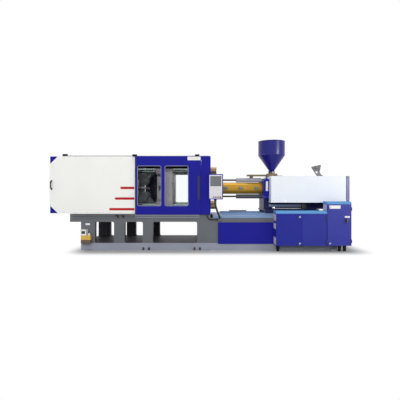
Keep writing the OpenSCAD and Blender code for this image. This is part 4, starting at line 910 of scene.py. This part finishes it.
def add_cabinet_details():
    """Grilles at the left of the cabinets; latches, hinge sleeves and plates of their doors."""
    cabinet_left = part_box("cabinet")[0].x
    bm = bmesh.new()
    for bottom, top in LOW_GRILLES:
        louvre(bm, stand("left", cabinet_left, GRILLE_Y, (bottom + top) / 2), GRILLE_W, top - bottom)
    louvre(bm, stand("left", TALL_LEFT, GRILLE_Y, TALL_GRILLE_Z), GRILLE_W, TALL_GRILLE_H)
    piece("cabinet_grilles", bm, lavender, "machine")

    latch_x = {
        "door_left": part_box("door_left")[1].x - LATCH_IN,
        "door_right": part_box("door_right")[0].x + LATCH_IN,
    }
    for door, x in latch_x.items():
        low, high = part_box(door)
        bm = bmesh.new()
        for z in (low.z + LATCH_BOTTOM, high.z - LATCH_TOP):
            latch(bm, x, z)
        piece(door + "_latches", bm, steel, door)

    hinge_x = {
        "door_left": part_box("door_left")[0].x + HINGE_R,
        "door_middle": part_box("door_middle")[1].x - HINGE_R,
        "door_right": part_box("door_right")[1].x - HINGE_R,
    }
    for door, x in hinge_x.items():
        low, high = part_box(door)
        bm = bmesh.new()
        for z in (low.z + HINGE_END, high.z - HINGE_END - HINGE_L):
            turned(bm, stand("top", x, HINGE_Y, z), SLEEVE_PROFILE)
        piece(door + "_hinge_sleeves", bm, black_plastic, door)

    bm = bmesh.new()
    slab(bm, stand("front", SWITCH_PLATE_X, DOOR_FRONT, SWITCH_PLATE_Z), *SWITCH_PLATE)
    slab(bm, stand("front", DOOR_PLATE_X, DOOR_FRONT, DOOR_PLATE_Z), *DOOR_PLATE)
    piece("door_plates", bm, white_plastic, "door_right")


# Bed and tie bars: plain plate, pump window, screws of panels and tie bar nuts, levelling pads
LEG_PLATE = (0.112, 0.046, 0.002, 0.005)
LEG_PLATE_X = -2.844
LEG_PLATE_Z = 0.646
LEG_FRONT = -0.800
PUMP_WINDOW = (0.092, 0.066, 0.004, 0.008, 0.0015)
PUMP_WINDOW_IN = 0.068
PUMP_WINDOW_Z = 0.455
PANEL_SCREW_D = 0.020
PANEL_SCREW_X = (0.440, 1.100, 1.765)
PANEL_SCREW_Z = (0.185, 0.660)
TIE_BAR_OUT = 0.43
NUT_SCREW_D = 0.028
NUT_SCREW_COUNT = 6
NUT_SCREW_R = 0.098
PAD_X = (-1.450, -1.312, -0.175, -0.040)
PAD_Z = 0.030
PAD_SIZE = (0.050, 0.060, 0.030)
PAD_BOLT_Y = -0.812
PAD_BOLT_Z = 0.058
PAD_BOLT_PROFILE = ((0.008, -0.03), (0.008, 0.018), (0.006, 0.022))


def add_small_fittings():
    """Plate and pump window at the left leg, screws of bed and tie bars, levelling pads."""
    bm = bmesh.new()
    slab(bm, stand("front", LEG_PLATE_X, LEG_FRONT, LEG_PLATE_Z), *LEG_PLATE)
    piece("leg_plate", bm, white_plastic, "machine")

    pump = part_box("lube_pump")[0]
    bm = bmesh.new()
    slab(bm, stand("front", pump.x + PUMP_WINDOW_IN, pump.y, PUMP_WINDOW_Z), *PUMP_WINDOW)
    piece("pump_window", bm, black_plastic, "machine")

    low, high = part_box("service_panels")
    bm = bmesh.new()
    for x in PANEL_SCREW_X:
        for z in PANEL_SCREW_Z:
            screw_head(bm, stand("front", x, low.y, z), PANEL_SCREW_D)
            screw_head(bm, stand("rear", x, high.y, z), PANEL_SCREW_D)
    nut_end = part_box("tie_bar_nuts")[1].x
    for y in (-TIE_BAR_OUT, TIE_BAR_OUT):
        for z in (BARREL_AXIS - TIE_BAR_OUT, BARREL_AXIS + TIE_BAR_OUT):
            for k in range(NUT_SCREW_COUNT):
                a = 2 * math.pi * (k + 0.5) / NUT_SCREW_COUNT
                at = stand("right", nut_end, y + NUT_SCREW_R * math.cos(a), z + NUT_SCREW_R * math.sin(a))
                screw_head(bm, at, NUT_SCREW_D)
    piece("machine_screws", bm, dark_steel, "machine")

    bm = bmesh.new()
    for x in PAD_X:
        wedge(bm, stand("front", x, LEG_FRONT, PAD_Z), *PAD_SIZE)
        turned(bm, stand("top", x, PAD_BOLT_Y, PAD_BOLT_Z), PAD_BOLT_PROFILE, n=12)
    piece("levelling_pads", bm, black_plastic, "machine")


def seen_rays(tree):
    """1 for rays that see the surroundings straight, in a reflection or through glass, else 0."""
    paths = tree.nodes.new("ShaderNodeLightPath")
    seen = paths.outputs["Is Camera Ray"]
    for kind in ("Is Glossy Ray", "Is Transmission Ray"):
        either = tree.nodes.new("ShaderNodeMath")
        either.operation = "MAXIMUM"
        tree.links.new(seen, either.inputs[0])
        tree.links.new(paths.outputs[kind], either.inputs[1])
        seen = either.outputs["Value"]
    return seen


def distance_from_foot(f):
    """Distance of a floor point from the machine's footprint, 0 inside it."""
    out = f.place
    chain = (
        ("SUBTRACT", FOOT_MIDDLE),
        ("ABSOLUTE", None),
        ("SUBTRACT", FOOT_HALF),
        ("MAXIMUM", (0, 0, 0)),
    )
    for step, value in chain:
        node = f.add("ShaderNodeVectorMath", operation=step)
        f.link(out, node.inputs[0])
        if value:
            node.inputs[1].default_value = value
        out = node.outputs["Vector"]
    length = f.add("ShaderNodeVectorMath", operation="LENGTH")
    f.link(out, length.inputs[0])
    return length.outputs["Value"]


def floor_paper():
    """Grey paper round the machine's foot, painted shade that also takes the real shadow, fading into a
    white glow farther off.
    """
    f = Finish("floor_paper")
    f.colour(f.mix(f.spread(f.noise(scale=0.4), 0.0, 1.0), PAPER_DARK, PAPER_PALE))
    f.set(Roughness=0.9, Specular_IOR_Level=0.1)
    fade = f.add("ShaderNodeMapRange", interpolation_type="SMOOTHSTEP")
    for key, value in zip(("From Min", "From Max"), PAINTED_SHADE_REACH):
        fade.inputs[key].default_value = value
    f.link(distance_from_foot(f), fade.inputs["Value"])
    share = f.add("ShaderNodeMath", operation="MULTIPLY")
    f.link(seen_rays(f.tree), share.inputs[0])
    f.link(fade.outputs["Result"], share.inputs[1])
    glow = f.add("ShaderNodeEmission")
    blend = f.add("ShaderNodeMixShader")
    f.link(share.outputs["Value"], blend.inputs["Fac"])
    f.link(f.bsdf.outputs["BSDF"], blend.inputs[1])
    f.link(glow.outputs["Emission"], blend.inputs[2])
    f.link(blend.outputs["Shader"], f.tree.nodes["Material Output"].inputs["Surface"])
    return f.material


def add_floor():
    """Floor disc that takes the shadow, with painted shade round the machine's foot."""
    bm = bmesh.new()
    bmesh.ops.create_circle(bm, cap_ends=True, segments=FLOOR_SIDES, radius=FLOOR_RADIUS)
    mesh = bpy.data.meshes.new("studio_floor")
    bm.to_mesh(mesh)
    bm.free()
    floor = bpy.data.objects.new("studio_floor", mesh)
    scene.collection.objects.link(floor)
    mesh.materials.append(floor_paper())


def add_world():
    """White surroundings, seen at full strength and lighting the machine at a lower one."""
    world = bpy.data.worlds.new("studio")
    scene.world = world
    world.use_nodes = True
    tree = world.node_tree
    background = tree.nodes["Background"]
    strength = tree.nodes.new("ShaderNodeMapRange")
    tree.links.new(seen_rays(tree), strength.inputs["Value"])
    strength.inputs["To Min"].default_value = WORLD_LIGHT
    strength.inputs["To Max"].default_value = WORLD_SEEN
    tree.links.new(strength.outputs["Result"], background.inputs["Strength"])
    background.inputs["Color"].default_value = (1, 1, 1, 1)


def lamp(name, at, aim, size, watts, lights=True, mirrored=True):
    """Soft rectangular lamp that can light surfaces, show in reflections, or both."""
    data = bpy.data.lights.new(name, "AREA")
    data.shape = "RECTANGLE"
    data.size, data.size_y = size
    data.energy = watts
    light = bpy.data.objects.new(name, data)
    light.visible_diffuse = lights
    light.visible_glossy = mirrored
    light.location = at
    light.rotation_euler = (Vector(aim) - Vector(at)).to_track_quat("-Z", "Y").to_euler()
    scene.collection.objects.link(light)


# Soft lamps: place, aim, width and height, watts
FRONT_LAMP = ((-1.9, -11.0, 4.6), (-0.3, 0, 1.2), (9, 4), 610)
TOP_LAMP = ((0.5, 1.2, 8.5), (0, 0, 1.0), (10, 4), 280)
SIDE_LAMP = ((9.0, -6.0, 4.0), (1.0, 0, 1.2), (4, 5), 150)
REAR_LAMP = ((0.5, 11.0, 4.6), (0, 0, 1.2), (9, 4), 330)
STRIP_LAMP = ((6.0, -4.5, 2.38), (1.92, 0, 2.38), (0.45, 0.8), 380)


def add_lamps():
    """Broad soft lamps, and a strip, seen only in reflections, for the hopper's upright highlight."""
    lamp("front_softbox", *FRONT_LAMP, mirrored=False)
    lamp("top_softbox", *TOP_LAMP)
    lamp("side_softbox", *SIDE_LAMP, mirrored=False)
    lamp("rear_softbox", *REAR_LAMP, mirrored=False)
    lamp("strip_softbox", *STRIP_LAMP, lights=False)


add_camera()
add_cord("panel_conduit", CONDUIT_ROUTE, CONDUIT_D, "hmi_conduit")
add_cord("guard_cable", LEAD_ROUTE, LEAD_D, "guard_lead")
dress_nodes()
add_guard_details()
add_gate_details()
add_injection_details()
add_cabinet_details()
add_small_fittings()
add_floor()
add_world()
add_lamps()

scene.view_settings.view_transform = "Standard"
